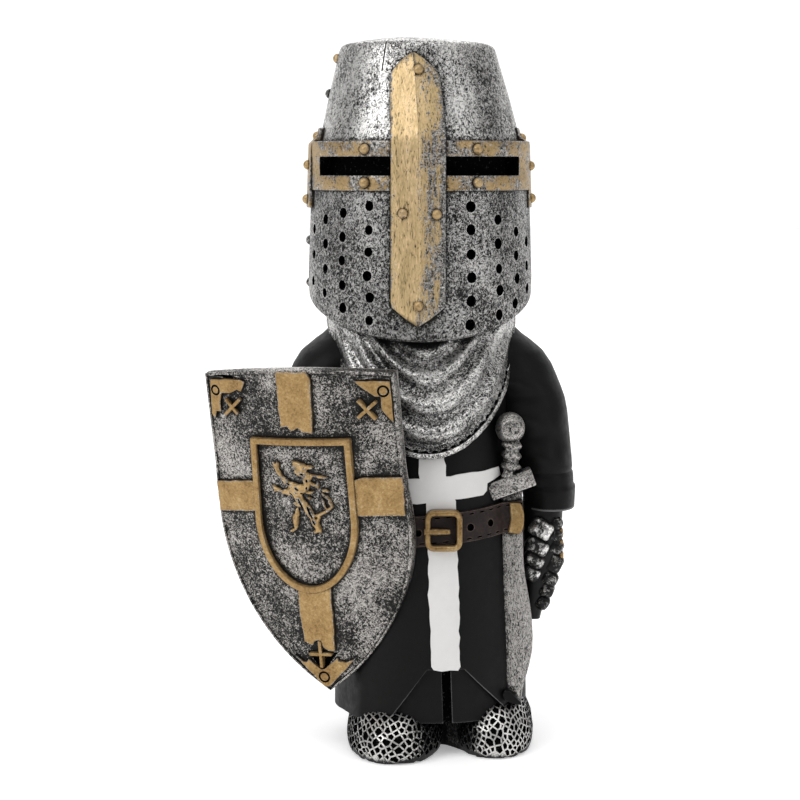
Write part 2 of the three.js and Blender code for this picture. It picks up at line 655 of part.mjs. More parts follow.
// The heater outline: straight sides, then two arcs to a point, a little swollen and leaning at its foot.
function shieldOutline(inset) {
  const { width, length, straight, swell, skew, arch, slope } = SHIELD;
  const half = width / 2;
  const radius = (half ** 2 + (length - straight) ** 2) / width;
  const downs = [12, 30.7, 38, 45, 51, 56.5, 61, 65.5, length];
  const corner = (side, down) => {
    const below = Math.max(down - straight, 0);
    const curve = down < straight ? half : half - radius + Math.sqrt(Math.max(radius ** 2 - below ** 2, 0));
    const bulge = swell * Math.sin(Math.PI * THREE.MathUtils.clamp((down - 20) / (length - 20), 0, 1));
    const lean = skew * THREE.MathUtils.clamp((down - 25) / 45, 0, 1);
    const room = Math.max(curve + bulge - inset * (radius / (radius - half + curve)), 0);
    return [side * room + lean, -Math.min(down, length - 2.2 * inset)];
  };
  const tops = [-1, -0.5, 0, 0.5, 1].map((reach) => [
    reach * (half - inset), arch * (1 - reach ** 2) - slope * (1 - reach) - inset,
  ]);
  const right = downs.map((down) => corner(1, down));
  const left = downs.slice(0, -1).reverse().map((down) => corner(-1, down));
  return outlineOf([...tops, ...right, ...left].reverse());
}

// The small shield's outline: straight sides, then a round foot.
function escutcheonOutline(inset) {
  const { top, width, length, straight, x, lean } = ESCUTCHEON;
  const half = width / 2 - inset;
  const points = [{ side: half, down: inset }];
  for (const turn of [0, 15, 30, 45, 60, 75, 90]) {
    points.push({
      side: half * Math.cos(radians(turn)),
      down: straight + (length - inset - straight) * Math.sin(radians(turn)),
    });
  }
  const place = (side, down) => [side + x + (lean * down) / length, -top - down];
  const left = points.map(({ side, down }) => place(-side, down));
  const right = points.slice(0, -1).reverse().map(({ side, down }) => place(side, down));
  return outlineOf([...left, ...right]);
}

// Prism of an outline across and up, pushed out through the shield's thickness.
function pushed(shape) {
  const geometry = extruded(shape, SHIELD_CUT.deep, 5);
  geometry.translate(0, 0, SHIELD_CUT.back);
  return solid(geometry);
}

// The bowed skin of the shield between two distances from its front face.
function bowed(back, front) {
  const wide = radians(24);
  const shape = new THREE.Shape();
  shape.absarc(0, 0, SHIELD.bow + front, Math.PI / 2 - wide, Math.PI / 2 + wide, false);
  shape.absarc(0, 0, SHIELD.bow + back, Math.PI / 2 + wide, Math.PI / 2 - wide, true);
  const geometry = extruded(shape, 2 * SHIELD.length, 7);
  geometry.rotateX(Math.PI / 2);
  geometry.translate(0, SHIELD.length / 2, -SHIELD.bow);
  return solid(geometry);
}

function shieldFrame() {
  const roll = new THREE.Matrix4().makeRotationZ(radians(SHIELD.roll));
  const stand = new THREE.Matrix4().makeRotationX(Math.PI / 2 + radians(SHIELD.pitch));
  const yaw = new THREE.Matrix4().makeRotationZ(-radians(SHIELD.yaw));
  const place = new THREE.Matrix4().makeTranslation(...SHIELD.place);
  return place.multiply(yaw).multiply(stand).multiply(roll);
}

function stroke(x, y, length, width, degrees) {
  const geometry = new THREE.BoxGeometry(length, width, SHIELD_CUT.deep);
  geometry.rotateZ(radians(degrees));
  geometry.translate(x, y, SHIELD_CUT.back + SHIELD_CUT.deep / 2);
  return solid(geometry);
}

function plates(outlines) {
  return join(outlines.map((corners) => pushed(outlineOf(corners))));
}

function shieldCross() {
  return plates([CROSS_ARMS, CROSS_HEAD, CROSS_FOOT])
    .subtract(pushed(escutcheonOutline(0)))
    .intersect(bowed(-1, SHIELD_CROSS.proud));
}

function escutcheon() {
  return pushed(escutcheonOutline(0))
    .subtract(pushed(escutcheonOutline(ESCUTCHEON.bar)))
    .intersect(bowed(-1, ESCUTCHEON.proud));
}

// A rearing lion of plain strokes.
function lion() {
  return join(LION.map(([x0, y0, x1, y1, width]) => stroke(
    (x0 + x1) / 2,
    (y0 + y1) / 2 - SHIELD_CROSS.middle,
    Math.hypot(x1 - x0, y1 - y0) + width,
    width,
    THREE.MathUtils.radToDeg(Math.atan2(y1 - y0, x1 - x0)),
  )));
}

// Corner brackets with a saltire each, and a small cross over a chevron at the point.
function shieldMarks() {
  return join([
    plates([...BRACKETS, CHEVRON]),
    ...LINES.map(({ x, y, length, turn }) => stroke(x, y, length, LINE, turn)),
  ]);
}

function shield() {
  const outline = pushed(shieldOutline(0));
  const field = pushed(shieldOutline(SHIELD_RIM.width));
  const plate = outline.intersect(bowed(-SHIELD.thick, 0));
  const rim = outline.subtract(field).intersect(bowed(-1, SHIELD_RIM.proud));
  const charges = lion().add(shieldMarks()).intersect(bowed(-1, CHARGE));
  const whole = join([plate, rim, shieldCross(), escutcheon(), charges]).intersect(outline);
  return whole.transform(shieldFrame().toArray());
}

// Boots

function boot(size) {
  const rows = [[0, 0.95], [1.2, 0.985], [3, 1], [6, 0.95], [8.8, 0.8], [10.8, 0.58], [11.8, 0.3]];
  const middleY = (size.toe + size.heel) / 2;
  const long = (size.heel - size.toe) / 2;
  return rings(rows.length, 22, (turn, level) => {
    const [height, share] = rows[level];
    const point = oval(turn, size.half * share, long * share, long * share, 2.25);
    return new THREE.Vector3(size.x + point.x, middleY + point.y, (height / 12) * size.top);
  });
}

function soleWeb() {
  const outline = new THREE.Shape(new THREE.SplineCurve(
    SOLE_WEB.front.map(([x, y]) => new THREE.Vector2(x, y)),
  ).getPoints(12));
  for (const [x, y] of SOLE_WEB.back) {
    outline.lineTo(x, y);
  }
  return solid(extruded(outline, SOLE_WEB.top, 1));
}

// The whole figure, cast in one piece

function knight() {
  const whole = join([
    surcoat(),
    surcoatCross(),
    sleeve(1),
    sleeve(-1),
    cowl(),
    helm(),
    rightHand(),
    leftHand(),
    sword(),
    belt(),
    buckle(),
    shield(),
    ...BOOTS.map(boot),
    soleWeb(),
  ]);
  return whole;
}

function geometryOf(manifold) {
  const mesh = manifold.getMesh();
  const geometry = new THREE.BufferGeometry();
  geometry.setAttribute('position', new THREE.BufferAttribute(mesh.vertProperties, 3));
  geometry.setIndex(new THREE.BufferAttribute(mesh.triVerts, 1));
  geometry.computeVertexNormals();
  return geometry;
}

const resin = new THREE.MeshStandardMaterial({ color: 0x6f7073, roughness: 0.5, metalness: 0.4 });
const figure = new THREE.Mesh(geometryOf(knight()), resin);
figure.name = 'knight_statue';

const statue = new THREE.Group();
statue.add(figure);

export default statue;
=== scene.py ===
import math
from contextlib import contextmanager

import bmesh
import bpy
import numpy as np
from mathutils import Matrix, Vector


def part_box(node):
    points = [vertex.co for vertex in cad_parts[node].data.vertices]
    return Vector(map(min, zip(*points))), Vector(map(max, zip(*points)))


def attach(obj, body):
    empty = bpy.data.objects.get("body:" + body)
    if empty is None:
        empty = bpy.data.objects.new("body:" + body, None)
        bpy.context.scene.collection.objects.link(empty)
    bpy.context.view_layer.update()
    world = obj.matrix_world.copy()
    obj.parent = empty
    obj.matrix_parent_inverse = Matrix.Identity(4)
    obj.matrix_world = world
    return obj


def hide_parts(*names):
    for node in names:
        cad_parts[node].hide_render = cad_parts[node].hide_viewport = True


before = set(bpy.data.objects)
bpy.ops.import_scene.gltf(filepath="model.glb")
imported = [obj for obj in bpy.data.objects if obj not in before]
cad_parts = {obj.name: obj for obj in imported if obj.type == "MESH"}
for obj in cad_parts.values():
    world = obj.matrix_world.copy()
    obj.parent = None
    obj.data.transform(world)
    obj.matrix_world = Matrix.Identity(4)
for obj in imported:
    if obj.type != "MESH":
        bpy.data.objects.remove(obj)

# The whole casting
# One resin figure 150 mm tall, cast in one piece and painted by hand.
# Its forms are carved in millimetres here, united one by one, and scaled to the frame at the end.

low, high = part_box("knight_statue")
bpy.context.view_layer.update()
HEIGHT = 150
MILLIMETRE = (high.z - low.z) / HEIGHT
bpy.ops.object.select_all(action="DESELECT")


# Black gloss ground
# The figure is dipped in black first, and the black stays in every hollow that the later coats miss. The
# paints below also darken their hollows further as painted shade.

def mixed(paint, kind, inputs, **settings):
    """One more node of a paint, with its inputs set to values or to other nodes' outputs."""
    node = paint.node_tree.nodes.new("ShaderNode" + kind)
    for setting, value in settings.items():
        setattr(node, setting, value)
    for socket, value in inputs.items():
        if isinstance(value, bpy.types.NodeSocket):
            paint.node_tree.links.new(value, node.inputs[socket])
        else:
            node.inputs[socket].default_value = value
    return node


def new_paint(name):
    paint = bpy.data.materials.new(name)
    paint.use_nodes = True
    return paint, paint.node_tree.nodes["Principled BSDF"]


def grain(paint, scale, detail, roughness=0.6, curl=0.0, stretch=(1, 1, 1)):
    """Uneven noise on the figure's own coordinates, from 0 to 1."""
    place = mixed(paint, "TexCoord", {}).outputs["Object"]
    pulled = mixed(paint, "Mapping", {"Vector": place, "Scale": stretch}).outputs["Vector"]
    noise = mixed(paint, "TexNoise", {
        "Vector": pulled, "Scale": scale, "Detail": detail, "Roughness": roughness, "Distortion": curl,
    })
    return noise.outputs["Fac"]


def sum_of(paint, operation, first, second=0.0):
    return mixed(paint, "Math", {0: first, 1: second}, operation=operation).outputs["Value"]


def far_along(paint, axis):
    """How many millimetres along X, Y or Z a spot of the paint is."""
    place = mixed(paint, "TexCoord", {}).outputs["Object"]
    part = mixed(paint, "SeparateXYZ", {"Vector": place}).outputs[axis]
    return sum_of(paint, "MULTIPLY", part, 1 / MILLIMETRE)


def spread(paint, value, low_in, high_in, low_out=0.0, high_out=1.0):
    """A value taken from one range to another, and kept inside it."""
    steps = {"Value": value, "From Min": low_in, "From Max": high_in, "To Min": low_out, "To Max": high_out}
    return mixed(paint, "MapRange", steps).outputs["Result"]


def total(paint, *terms):
    """The sum of (value, weight) terms."""
    so_far = 0.0
    for value, weight in terms:
        step = mixed(paint, "Math", {0: value, 1: weight, 2: so_far}, operation="MULTIPLY_ADD")
        so_far = step.outputs["Value"]
    return so_far


# The paints darken hollows by this: partly the black ground and soil really left there, partly painted shade.
def shelter(paint, reach):
    """1 in the open and 0 deep in a hollow."""
    return mixed(paint, "AmbientOcclusion", {"Distance": reach * MILLIMETRE}, samples=8).outputs["AO"]


def bareness(paint, reach):
    """1 on flats and lower on outside edges, where a brush leaves most paint and wear takes most off."""
    near = mixed(paint, "AmbientOcclusion", {"Distance": reach * MILLIMETRE}, samples=8, inside=True)
    return near.outputs["AO"]


def toned(paint, value, stops, tint=(1, 1, 1)):
    """A colour ramp of (place, grey or colour) stops."""
    ramp = mixed(paint, "ValToRGB", {"Fac": value})
    while len(ramp.color_ramp.elements) < len(stops):
        ramp.color_ramp.elements.new(0.5)
    for element, (place, tone) in zip(ramp.color_ramp.elements, stops):
        element.position = place
        colour = tone if isinstance(tone, tuple) else [tone * share for share in tint]
        element.color = (*colour, 1)
    return ramp.outputs["Color"]


def relief(paint, shader, value, depth):
    bump = mixed(paint, "Bump", {"Height": value, "Distance": depth * MILLIMETRE, "Strength": 1.0})
    paint.node_tree.links.new(bump.outputs["Normal"], shader.inputs["Normal"])


def wire(paint, shader, **sockets):
    for name, value in sockets.items():
        paint.node_tree.links.new(value, shader.inputs[name.replace("_", " ")])


black_ground, shader = new_paint("black_ground")
shader.inputs["Base Color"].default_value = (0.006, 0.006, 0.006, 1)
shader.inputs["Specular IOR Level"].default_value = 0.2
fine = grain(black_ground, 900, 3)
wire(black_ground, shader, Roughness=spread(black_ground, fine, 0.3, 0.7, 0.3, 0.55))
relief(black_ground, shader, fine, 0.06)

hollow_black, shader = new_paint("hollow_black")
specks = grain(hollow_black, 1500, 3)
wire(hollow_black, shader, Base_Color=toned(hollow_black, specks, [(0.6, 0.0012), (0.75, 0.05)]))
shader.inputs["Specular IOR Level"].default_value = 0.02
shader.inputs["Roughness"].default_value = 0.7


# Boots
# Two round mailed shoes on flat soles, with a curved web of resin between their toes.
# The mail is a net of raised silver cords, cut cell by cell; the cells stay black.

# bright is the x where each toe's net is lit fullest; away from it the silver fades as painted shade.
BOOTS = {
    "left": {"x": -9.3, "half": 10.4, "toe": -27.8, "heel": 13, "top": 12, "bright": -11},
    "right": {"x": 11.8, "half": 8.8, "toe": -23.4, "heel": 14, "top": 12.8, "bright": 13.4},
}
BOOT_PROFILE = [
    (0, 0), (0, 0.95), (1.2, 0.985), (3, 1), (6, 0.95), (8.8, 0.8), (10.8, 0.58), (11.8, 0.3), (12, 0),
]
NET = {"cells": 950, "cord": 0.17, "wall": 0.12, "deep": 0.42, "shallow": 0.14, "sole": 1.3}
WEB_FRONT = [(-9, -24), (-3.5, -17.2), (-1, -12.2), (0.95, -10.9), (3.4, -13.6), (7.2, -18.9), (11.8, -21)]
WEB_BACK = [(12, 12), (-10, 12)]
WEB_TOP = 8


def dry_brushed(
    name, cover, contrast=2.3, fine_scale=2000, patch_scale=110, patch=0.9, wash_and_shade=1.1, reach=1.4, edge=0.5,
    bright=0.6, tint=(1, 0.985, 0.96), stretch=(1, 1, 1), less=(), rough=(0.52, 0.36),
):
    """Silver brushed dry over black: it takes on the high spots and the edges, and misses the pits. Its
    hollows stay dark, as the black ground left there and as painted shade.
    """
    paint, shader = new_paint(name)
    fine = grain(paint, fine_scale, 3, 0.62, 0.9, stretch)
    curls = grain(paint, fine_scale * 0.45, 2, 0.6, 2.2, stretch)
    strokes = spread(paint, sum_of(paint, "ABSOLUTE", sum_of(paint, "SUBTRACT", curls, 0.5)), 0, 0.06)
    patches = grain(paint, patch_scale, 3, 0.6, 0, stretch)
    load = total(
        paint,
        (fine, contrast),
        (strokes, 0.3 * contrast),
        (patches, patch),
        # Darker in hollows: the black ground left there, and painted shade.
        (shelter(paint, reach), wash_and_shade),
        (bareness(paint, 0.4), -edge),
        *[(far(paint), -weight) for far, weight in less],
        (1.0, cover - 0.73 * contrast - 0.5 * patch - wash_and_shade + edge),
    )
    stops = [(0.16, 0.009), (0.32, 0.04), (0.44, 0.3), (0.56, 0.6), (0.72, 0.85), (0.92, 1)]
    colour = toned(paint, load, [(place, tone * bright) for place, tone in stops], tint)
    wire(
        paint, shader,
        Base_Color=colour,
        Metallic=spread(paint, load, 0.26, 0.44, 0.0, 0.9),
        Roughness=spread(paint, load, 0.3, 0.8, *rough),
    )
    shader.inputs["Specular IOR Level"].default_value = 0.2
    relief(paint, shader, fine, 0.08)
    return paint


def shade_beside_toes(paint):
    """0 on the lit front of the toes, and 1 where a shoe turns away to its side: a mask for painted shade."""
    x = far_along(paint, "X")
    spans = [
        sum_of(paint, "ABSOLUTE", sum_of(paint, "SUBTRACT", x, boot["bright"])) for boot in BOOTS.values()
    ]
    return spread(paint, sum_of(paint, "MINIMUM", *spans), 3.5, 8)


# Rises towards the back of the shoes, under the hem: a mask for painted shade.
def shade_behind_toes(paint):
    return spread(paint, far_along(paint, "Y"), -16, -2)


# The net's silver fades to the sides and back of each shoe as painted shade.
net_silver = dry_brushed(
    "net_silver", 0.68, fine_scale=1400, contrast=1.6, patch=1.2, edge=0.9, wash_and_shade=1.1, bright=0.62,
    less=[(shade_beside_toes, 0.75), (shade_behind_toes, 0.5)],
)
sole_silver = dry_brushed("sole_silver", 0.22, patch=1.4, edge=0.8)


def take(name, paint=None):
    """Names the primitive just added, and gives it its paint."""
    piece = bpy.context.active_object
    piece.name = name
    if paint:
        piece.data.materials.append(paint)
    return piece


def points_of(piece):
    flat = np.empty(len(piece.data.vertices) * 3)
    piece.data.vertices.foreach_get("co", flat)
    return flat.reshape(-1, 3)


def set_points(piece, points):
    piece.data.vertices.foreach_set("co", np.asarray(points, float).ravel())
    piece.data.update()


def only(piece):
    """Makes one piece the selected and active one."""
    bpy.ops.object.select_all(action="DESELECT")
    piece.select_set(True)
    bpy.context.view_layer.objects.active = piece


@contextmanager
def at_work_on(piece):
    """Edit mode on one piece, with all of it selected."""
    only(piece)
    bpy.ops.object.mode_set(mode="EDIT")
    bpy.ops.mesh.select_mode(type="VERT")
    bpy.ops.mesh.select_all(action="SELECT")
    yield
    bpy.ops.object.mode_set(mode="OBJECT")
    piece.select_set(False)


def faced_out(piece):
    with at_work_on(piece):
        bpy.ops.mesh.normals_make_consistent(inside=False)
    return piece


def applied(piece, kind, **settings):
    """Puts a modifier on a piece and applies it."""
    only(piece)
    step = piece.modifiers.new("step", kind)
    for setting, value in settings.items():
        setattr(step, setting, value)
    bpy.ops.object.modifier_apply(modifier="step")


def between(start, end, share):
    return start + (end - start) * share


def pick_faces(piece, wanted):
    """Selects the faces of the piece at work whose middle and normal are wanted."""
    bpy.ops.mesh.select_mode(type="FACE")
    bpy.ops.mesh.select_all(action="DESELECT")
    shape = bmesh.from_edit_mesh(piece.data)
    for face in shape.faces:
        if wanted(face.calc_center_median(), face.normal):
            face.select_set(True)
    bmesh.update_edit_mesh(piece.data)


def oval(turn, half, front, back, squareness=2.3):
    """X and Y on an oval with squarish sides; turn 0 is the front, and a positive turn goes to +X."""
    side, ahead = np.sin(turn), np.cos(turn)
    depth = np.where(ahead > 0, front, back)
    power = 2 / squareness
    return half * np.sign(side) * np.abs(side) ** power, -depth * np.sign(ahead) * np.abs(ahead) ** power


def boot_form(directions, boot):
    """Takes points of a ball to the form of a boot, foot to crown."""
    turn = np.arctan2(directions[:, 0], -directions[:, 1])
    rise = np.arcsin(np.clip(directions[:, 2], -1, 1)) / np.pi + 0.5
    middle_y = (boot["toe"] + boot["heel"]) / 2
    long = (boot["heel"] - boot["toe"]) / 2
    profile = np.array(BOOT_PROFILE, float)
    run = np.hypot(np.diff(profile[:, 0]), np.diff(profile[:, 1]) * 0.7 * long)
    along = np.concatenate([[0], np.cumsum(run)]) / run.sum()
    height = np.interp(rise, along, profile[:, 0]) / 12 * boot["top"]
    share = np.interp(rise, along, profile[:, 1])
    x, y = oval(turn, boot["half"] * share, long * share, long * share, 2.25)
    return np.column_stack([boot["x"] + x, middle_y + y, height])


def scattered(count, seed):
    """Directions spread over a ball with even gaps, then nudged, as cells set by hand are."""
    rng = np.random.default_rng(seed)
    place = np.arange(count) + 0.5
    z = 1 - 2 * place / count
    turn = place * math.pi * (3 - math.sqrt(5))
    ring = np.sqrt(1 - z * z)
    points = np.column_stack([ring * np.cos(turn), ring * np.sin(turn), z])
    points += rng.normal(0, 0.2 * math.sqrt(4 * math.pi / count), points.shape)
    return points / np.linalg.norm(points, axis=1, keepdims=True)


def turned_to_cells(piece):
    """Swaps corners for faces, so that each point of the hull becomes a many-sided cell."""
    swap = bpy.data.node_groups.new("cells", "GeometryNodeTree")
    for direction in ("INPUT", "OUTPUT"):
        swap.interface.new_socket(name="Mesh", in_out=direction, socket_type="NodeSocketGeometry")
    start, cells, end = (
        swap.nodes.new(kind) for kind in ("NodeGroupInput", "GeometryNodeDualMesh", "NodeGroupOutput")
    )
    swap.links.new(start.outputs[0], cells.inputs[0])
    swap.links.new(cells.outputs[0], end.inputs[0])
    applied(piece, "NODES", node_group=swap)


boots = []
for seed, (side, boot) in enumerate(BOOTS.items()):
    bpy.ops.mesh.primitive_circle_add(vertices=NET["cells"], radius=1)
    shoe = take("boot_" + side)
    set_points(shoe, scattered(NET["cells"], seed))
    with at_work_on(shoe):
        bpy.ops.mesh.convex_hull()
    turned_to_cells(shoe)
    for paint in (net_silver, hollow_black):
        shoe.data.materials.append(paint)
    cells = points_of(shoe)
    set_points(shoe, boot_form(cells / np.linalg.norm(cells, axis=1, keepdims=True), boot))
    inner = boot["x"] - 2 if side == "right" else -99
    zones = (
        (lambda middle: middle.x > inner, NET["deep"]),
        (lambda middle: middle.x <= inner, NET["shallow"]),
    )
    with at_work_on(shoe):
        bpy.ops.mesh.normals_make_consistent(inside=False)
        for zone, depth in zones:
            shoe.active_material_index = 0
            pick_faces(shoe, lambda middle, normal: (
                middle.z > NET["sole"] and normal.z > -0.5 and zone(middle)
            ))
            bpy.ops.mesh.inset(thickness=NET["cord"], use_individual=True)
            shoe.active_material_index = 1
            bpy.ops.object.material_slot_assign()
            bpy.ops.mesh.inset(thickness=NET["wall"], depth=-depth, use_individual=True)
    boots.append(shoe)


def rounded(corners, times):
    """An outline with its corners cut back, time after time, until it runs smoothly."""
    for _ in range(times):
        pairs = list(zip(corners, corners[1:] + corners[:1]))
        corners = [
            tuple(a[k] * (1 - t) + b[k] * t for k in range(2)) for a, b in pairs for t in (0.25, 0.75)
        ]
    return corners


def cut_plate(name, paint, outline, near, far):
    """A flat plate: a disc whose corners are moved to the outline, pushed from one level to another."""
    bpy.ops.mesh.primitive_circle_add(vertices=len(outline), radius=1, fill_type="NGON")
    piece = take(name, paint)
    set_points(piece, [(across, up, near) for across, up in outline])
    with at_work_on(piece):
        bpy.ops.mesh.extrude_region_move(TRANSFORM_OT_translate={"value": (0, 0, far - near)})
        bpy.ops.mesh.select_all(action="SELECT")
        bpy.ops.mesh.normals_make_consistent(inside=False)
    return piece


sole_web = cut_plate("sole_web", sole_silver, rounded(WEB_FRONT + WEB_BACK, 2), 0, WEB_TOP)
with at_work_on(sole_web):
    pick_faces(sole_web, lambda middle, normal: normal.z > 0.9)
    bpy.ops.mesh.bevel(offset=3, segments=6)


# Surcoat
# A black cloth coat over a tunic, carved as one body with its hem, and painted satin black.
# At the front the coat parts over the tunic, and the tunic has a slit of its own.

HEM, NECK, TUNIC_TOP = 7.6, 90, 30
BODY = np.array([
    # z, half width, front, back, middle x
    (HEM, 20.7, 23.4, 18.5, -1.6),
    (20, 20.4, 23.2, 18, -1.4),
    (48, 18.7, 22.4, 16.6, -1.9),
    (64, 18.3, 21.4, 16.2, -2.5),
    (80, 18.6, 18.6, 15.4, -3),
    (NECK, 12.5, 13, 11, -3.5),
])
SKIRT = {"fold": 0.3, "folds": 9, "top": 40, "run": 30, "plain_front": 0.75}
OPENING = {"apex": 19.2, "left": -2.6, "right": 5.2, "foot_left": -11, "foot_right": 16, "depth": 1.1}
TUNIC_SLIT = {"x": 1.7, "width": 1.9, "top": 19.6, "depth": 2.2, "lean": 0.35}
BODY_MIDDLE = -3.4
SLEEVE = np.array([
    # z, out from the middle, half width, half depth, y
    (50.6, 27.5, 5, 9.4, -1.5),
    (54.8, 27.3, 5.5, 9.7, -1.5),
    (63, 25.2, 6.9, 10, -1),
    (74, 22, 9, 10.6, 0),
    (84, 16, 10.6, 10.4, 0.5),
    (NECK, 10, 8, 8, 1),
])
CUFF = {"top": 55.2, "proud": 0.34, "step": 0.3}
CUFF_SEAM = {"above": 3.4, "deep": 0.3, "wide": 0.35}
CREASE = {"deep": 0.6, "pitch": 0.75, "from": 56, "to": 84, "fade": 6, "sweep": 1.6}
LEFT_REACH = 5

coat_black, shader = new_paint("coat_black")
weave = grain(coat_black, 700, 4)
dust = grain(coat_black, 120, 3)
# Lighter along outside edges: rubbed cloth, and a painted highlight.
rub_and_highlight = total(coat_black, (bareness(coat_black, 0.35), -1.5), (dust, 0.5), (1.0, 1.25))
wire(
    coat_black, shader,
    Base_Color=toned(coat_black, rub_and_highlight, [(0.2, 0.005), (0.55, 0.01), (0.95, 0.14)]),
    Roughness=spread(coat_black, weave, 0.3, 0.7, 0.4, 0.56),
)
shader.inputs["Specular IOR Level"].default_value = 0.12
relief(coat_black, shader, weave, 0.05)


def at_height(stations, z, ease=2.5):
    """The columns of a table of stations at a height, with the corners between the stations eased."""
    spans = ((-ease, 0.25), (0, 0.5), (ease, 0.25))
    return [
        sum(weight * np.interp(z + shift, stations[:, 0], stations[:, i]) for shift, weight in spans)
        for i in range(1, stations.shape[1])
    ]


def on_body(turn, z, proud):
    """Points on the coat, some way proud of it."""
    half, front, back, x = at_height(BODY, z)
    skirt = np.clip((SKIRT["top"] - z) / SKIRT["run"], 0, 1)
    sides = np.where(np.cos(turn) > SKIRT["plain_front"], 0, 1)
    grow = proud + SKIRT["fold"] * skirt * np.cos(turn * SKIRT["folds"]) * sides
    across, deep = oval(turn, half + grow, front + grow, back + grow)
    return np.column_stack([x + across, deep, z + 0 * turn])


def rolled(name, paint, columns, rows, place):
    """A closed body rolled from a flat grid: place(turn, share) gives its points, foot to head."""
    bpy.ops.mesh.primitive_grid_add(x_subdivisions=columns, y_subdivisions=rows + 2, size=1)
    piece = take(name, paint)
    flat = points_of(piece)
    row = np.rint((flat[:, 1] + 0.5) * (rows + 2)).astype(int)
    share = np.clip((row - 1) / rows, 0, 1)
    turn = (flat[:, 0] + 0.5) * 2 * np.pi
    points = place(turn, share)
    for end, ring in ((0, 1), (rows + 2, rows + 1)):
        points[row == end] = points[row == ring].mean(axis=0)
    set_points(piece, points)
    with at_work_on(piece):
        bpy.ops.mesh.remove_doubles(threshold=0.0005)
        bpy.ops.mesh.normals_make_consistent(inside=False)
    return piece


def lumpy(piece, size, depth):
    """Moves the skin in and out in soft lumps, as hand carving and casting leave it."""
    lumps = bpy.data.textures.new(piece.name + "_lumps", "CLOUDS")
    lumps.noise_scale = size
    lumps.noise_depth = 2
    applied(piece, "DISPLACE", texture=lumps, strength=depth, texture_coords="LOCAL")


def combine(base, other, operation="UNION"):
    """Unites two pieces, or cuts one by the other; a cut keeps the cutter's paint."""
    applied(base, "BOOLEAN", operation=operation, solver="MANIFOLD", material_mode="TRANSFER", object=other)
    bpy.data.objects.remove(other, do_unlink=True)
    return base


def block(name, paint, place, size, turn=(0, 0, 0)):
    """A box, sized and turned."""
    bpy.ops.mesh.primitive_cube_add(size=1, location=place, rotation=turn, scale=size)
    piece = take(name, paint)
    bpy.ops.object.transform_apply()
    return piece


def ball(name, paint, place, size, turn=(0, 0, 0), segments=16, rings=10):
    """A ball stretched to a size, and turned."""
    bpy.ops.mesh.primitive_uv_sphere_add(
        segments=segments, ring_count=rings, radius=0.5, location=place, rotation=turn, scale=size,
    )
    piece = take(name, paint)
    bpy.ops.object.transform_apply()
    return piece


def peg(name, mouth, radius, depth, turn, squash=1, sides=16):
    """A round black cutter that points at the front, for a hole with its mouth halfway along."""
    bpy.ops.mesh.primitive_cylinder_add(
        vertices=sides, radius=radius, depth=2 * depth, location=mouth,
        rotation=(math.pi / 2, 0, turn), scale=(squash, 1, 1),
    )
    piece = take(name, hollow_black)
    bpy.ops.object.transform_apply()
    return piece


def stood_up(piece):
    """Turns a flat plate, drawn across and up, so that its levels run out to the front."""
    set_points(piece, points_of(piece)[:, [0, 2, 1]] * (1, -1, 1))
    return faced_out(piece)


def sliced(piece, axis, start, end, step):
    """Cuts a plate across at even steps, so that it can be bent."""
    normal = [0, 0, 0]
    normal[axis] = 1
    with at_work_on(piece):
        for place in np.arange(start, end, step):
            bpy.ops.mesh.select_all(action="SELECT")
            bpy.ops.mesh.bisect(plane_co=[place * share for share in normal], plane_no=normal)
    return piece


coat = rolled(
    "coat", coat_black, 120, 60, lambda turn, share: on_body(turn, between(HEM, NECK, share), 0),
)
lumpy(coat, 5, 0.3)
opening = cut_plate("opening", coat_black, [
    (OPENING["left"], OPENING["apex"]), (OPENING["foot_left"], HEM), (OPENING["foot_left"], 0),
    (OPENING["foot_right"], 0), (OPENING["foot_right"], HEM), (OPENING["right"], OPENING["apex"]),
], 0, 40)
combine(coat, stood_up(opening), "DIFFERENCE")
combine(coat, rolled(
    "tunic", coat_black, 90, 12,
    lambda turn, share: on_body(turn, between(HEM, TUNIC_TOP, share), -OPENING["depth"]),
))
slit_front = -BODY[0][2] + OPENING["depth"] + TUNIC_SLIT["depth"]
tunic_slit = block(
    "tunic_slit", hollow_black, (TUNIC_SLIT["x"], slit_front - 10, TUNIC_SLIT["top"] / 2),
    (TUNIC_SLIT["width"], 20, TUNIC_SLIT["top"]),
)
slit = points_of(tunic_slit)
slit[:, 0] += np.where(slit[:, 2] > TUNIC_SLIT["top"] / 2, -TUNIC_SLIT["lean"], TUNIC_SLIT["lean"])
set_points(tunic_slit, slit)
combine(coat, tunic_slit, "DIFFERENCE")


def sleeve_form(turn, share, side):
    z = between(SLEEVE[0][0], SLEEVE[-1][0], share)
    out, half, depth, y = at_height(SLEEVE, z)
    forward = (LEFT_REACH if side < 0 else 0) * (1 - share)
    proud = np.clip((CUFF["top"] + CUFF["step"] - z) / CUFF["step"], 0, 1) * CUFF["proud"]
    seam = -CUFF_SEAM["deep"] * np.exp(-((z - CUFF["top"] - CUFF_SEAM["above"]) / CUFF_SEAM["wide"]) ** 2)
    low_fade, high_fade = (
        np.clip(away / CREASE["fade"], 0, 1) for away in (z - CREASE["from"], CREASE["to"] - z)
    )
    inner_side = np.clip(0.85 - side * np.sin(turn), 0, 1)
    wave = np.sin(z * CREASE["pitch"] + side * CREASE["sweep"] * np.sin(turn - 0.6))
    grow = proud + seam + CREASE["deep"] * wave * low_fade * high_fade * inner_side
    across, deep = oval(turn, half + grow, depth + grow, depth + grow, 2.2)
    return np.column_stack([BODY_MIDDLE + side * out + across, y - forward + deep, z])


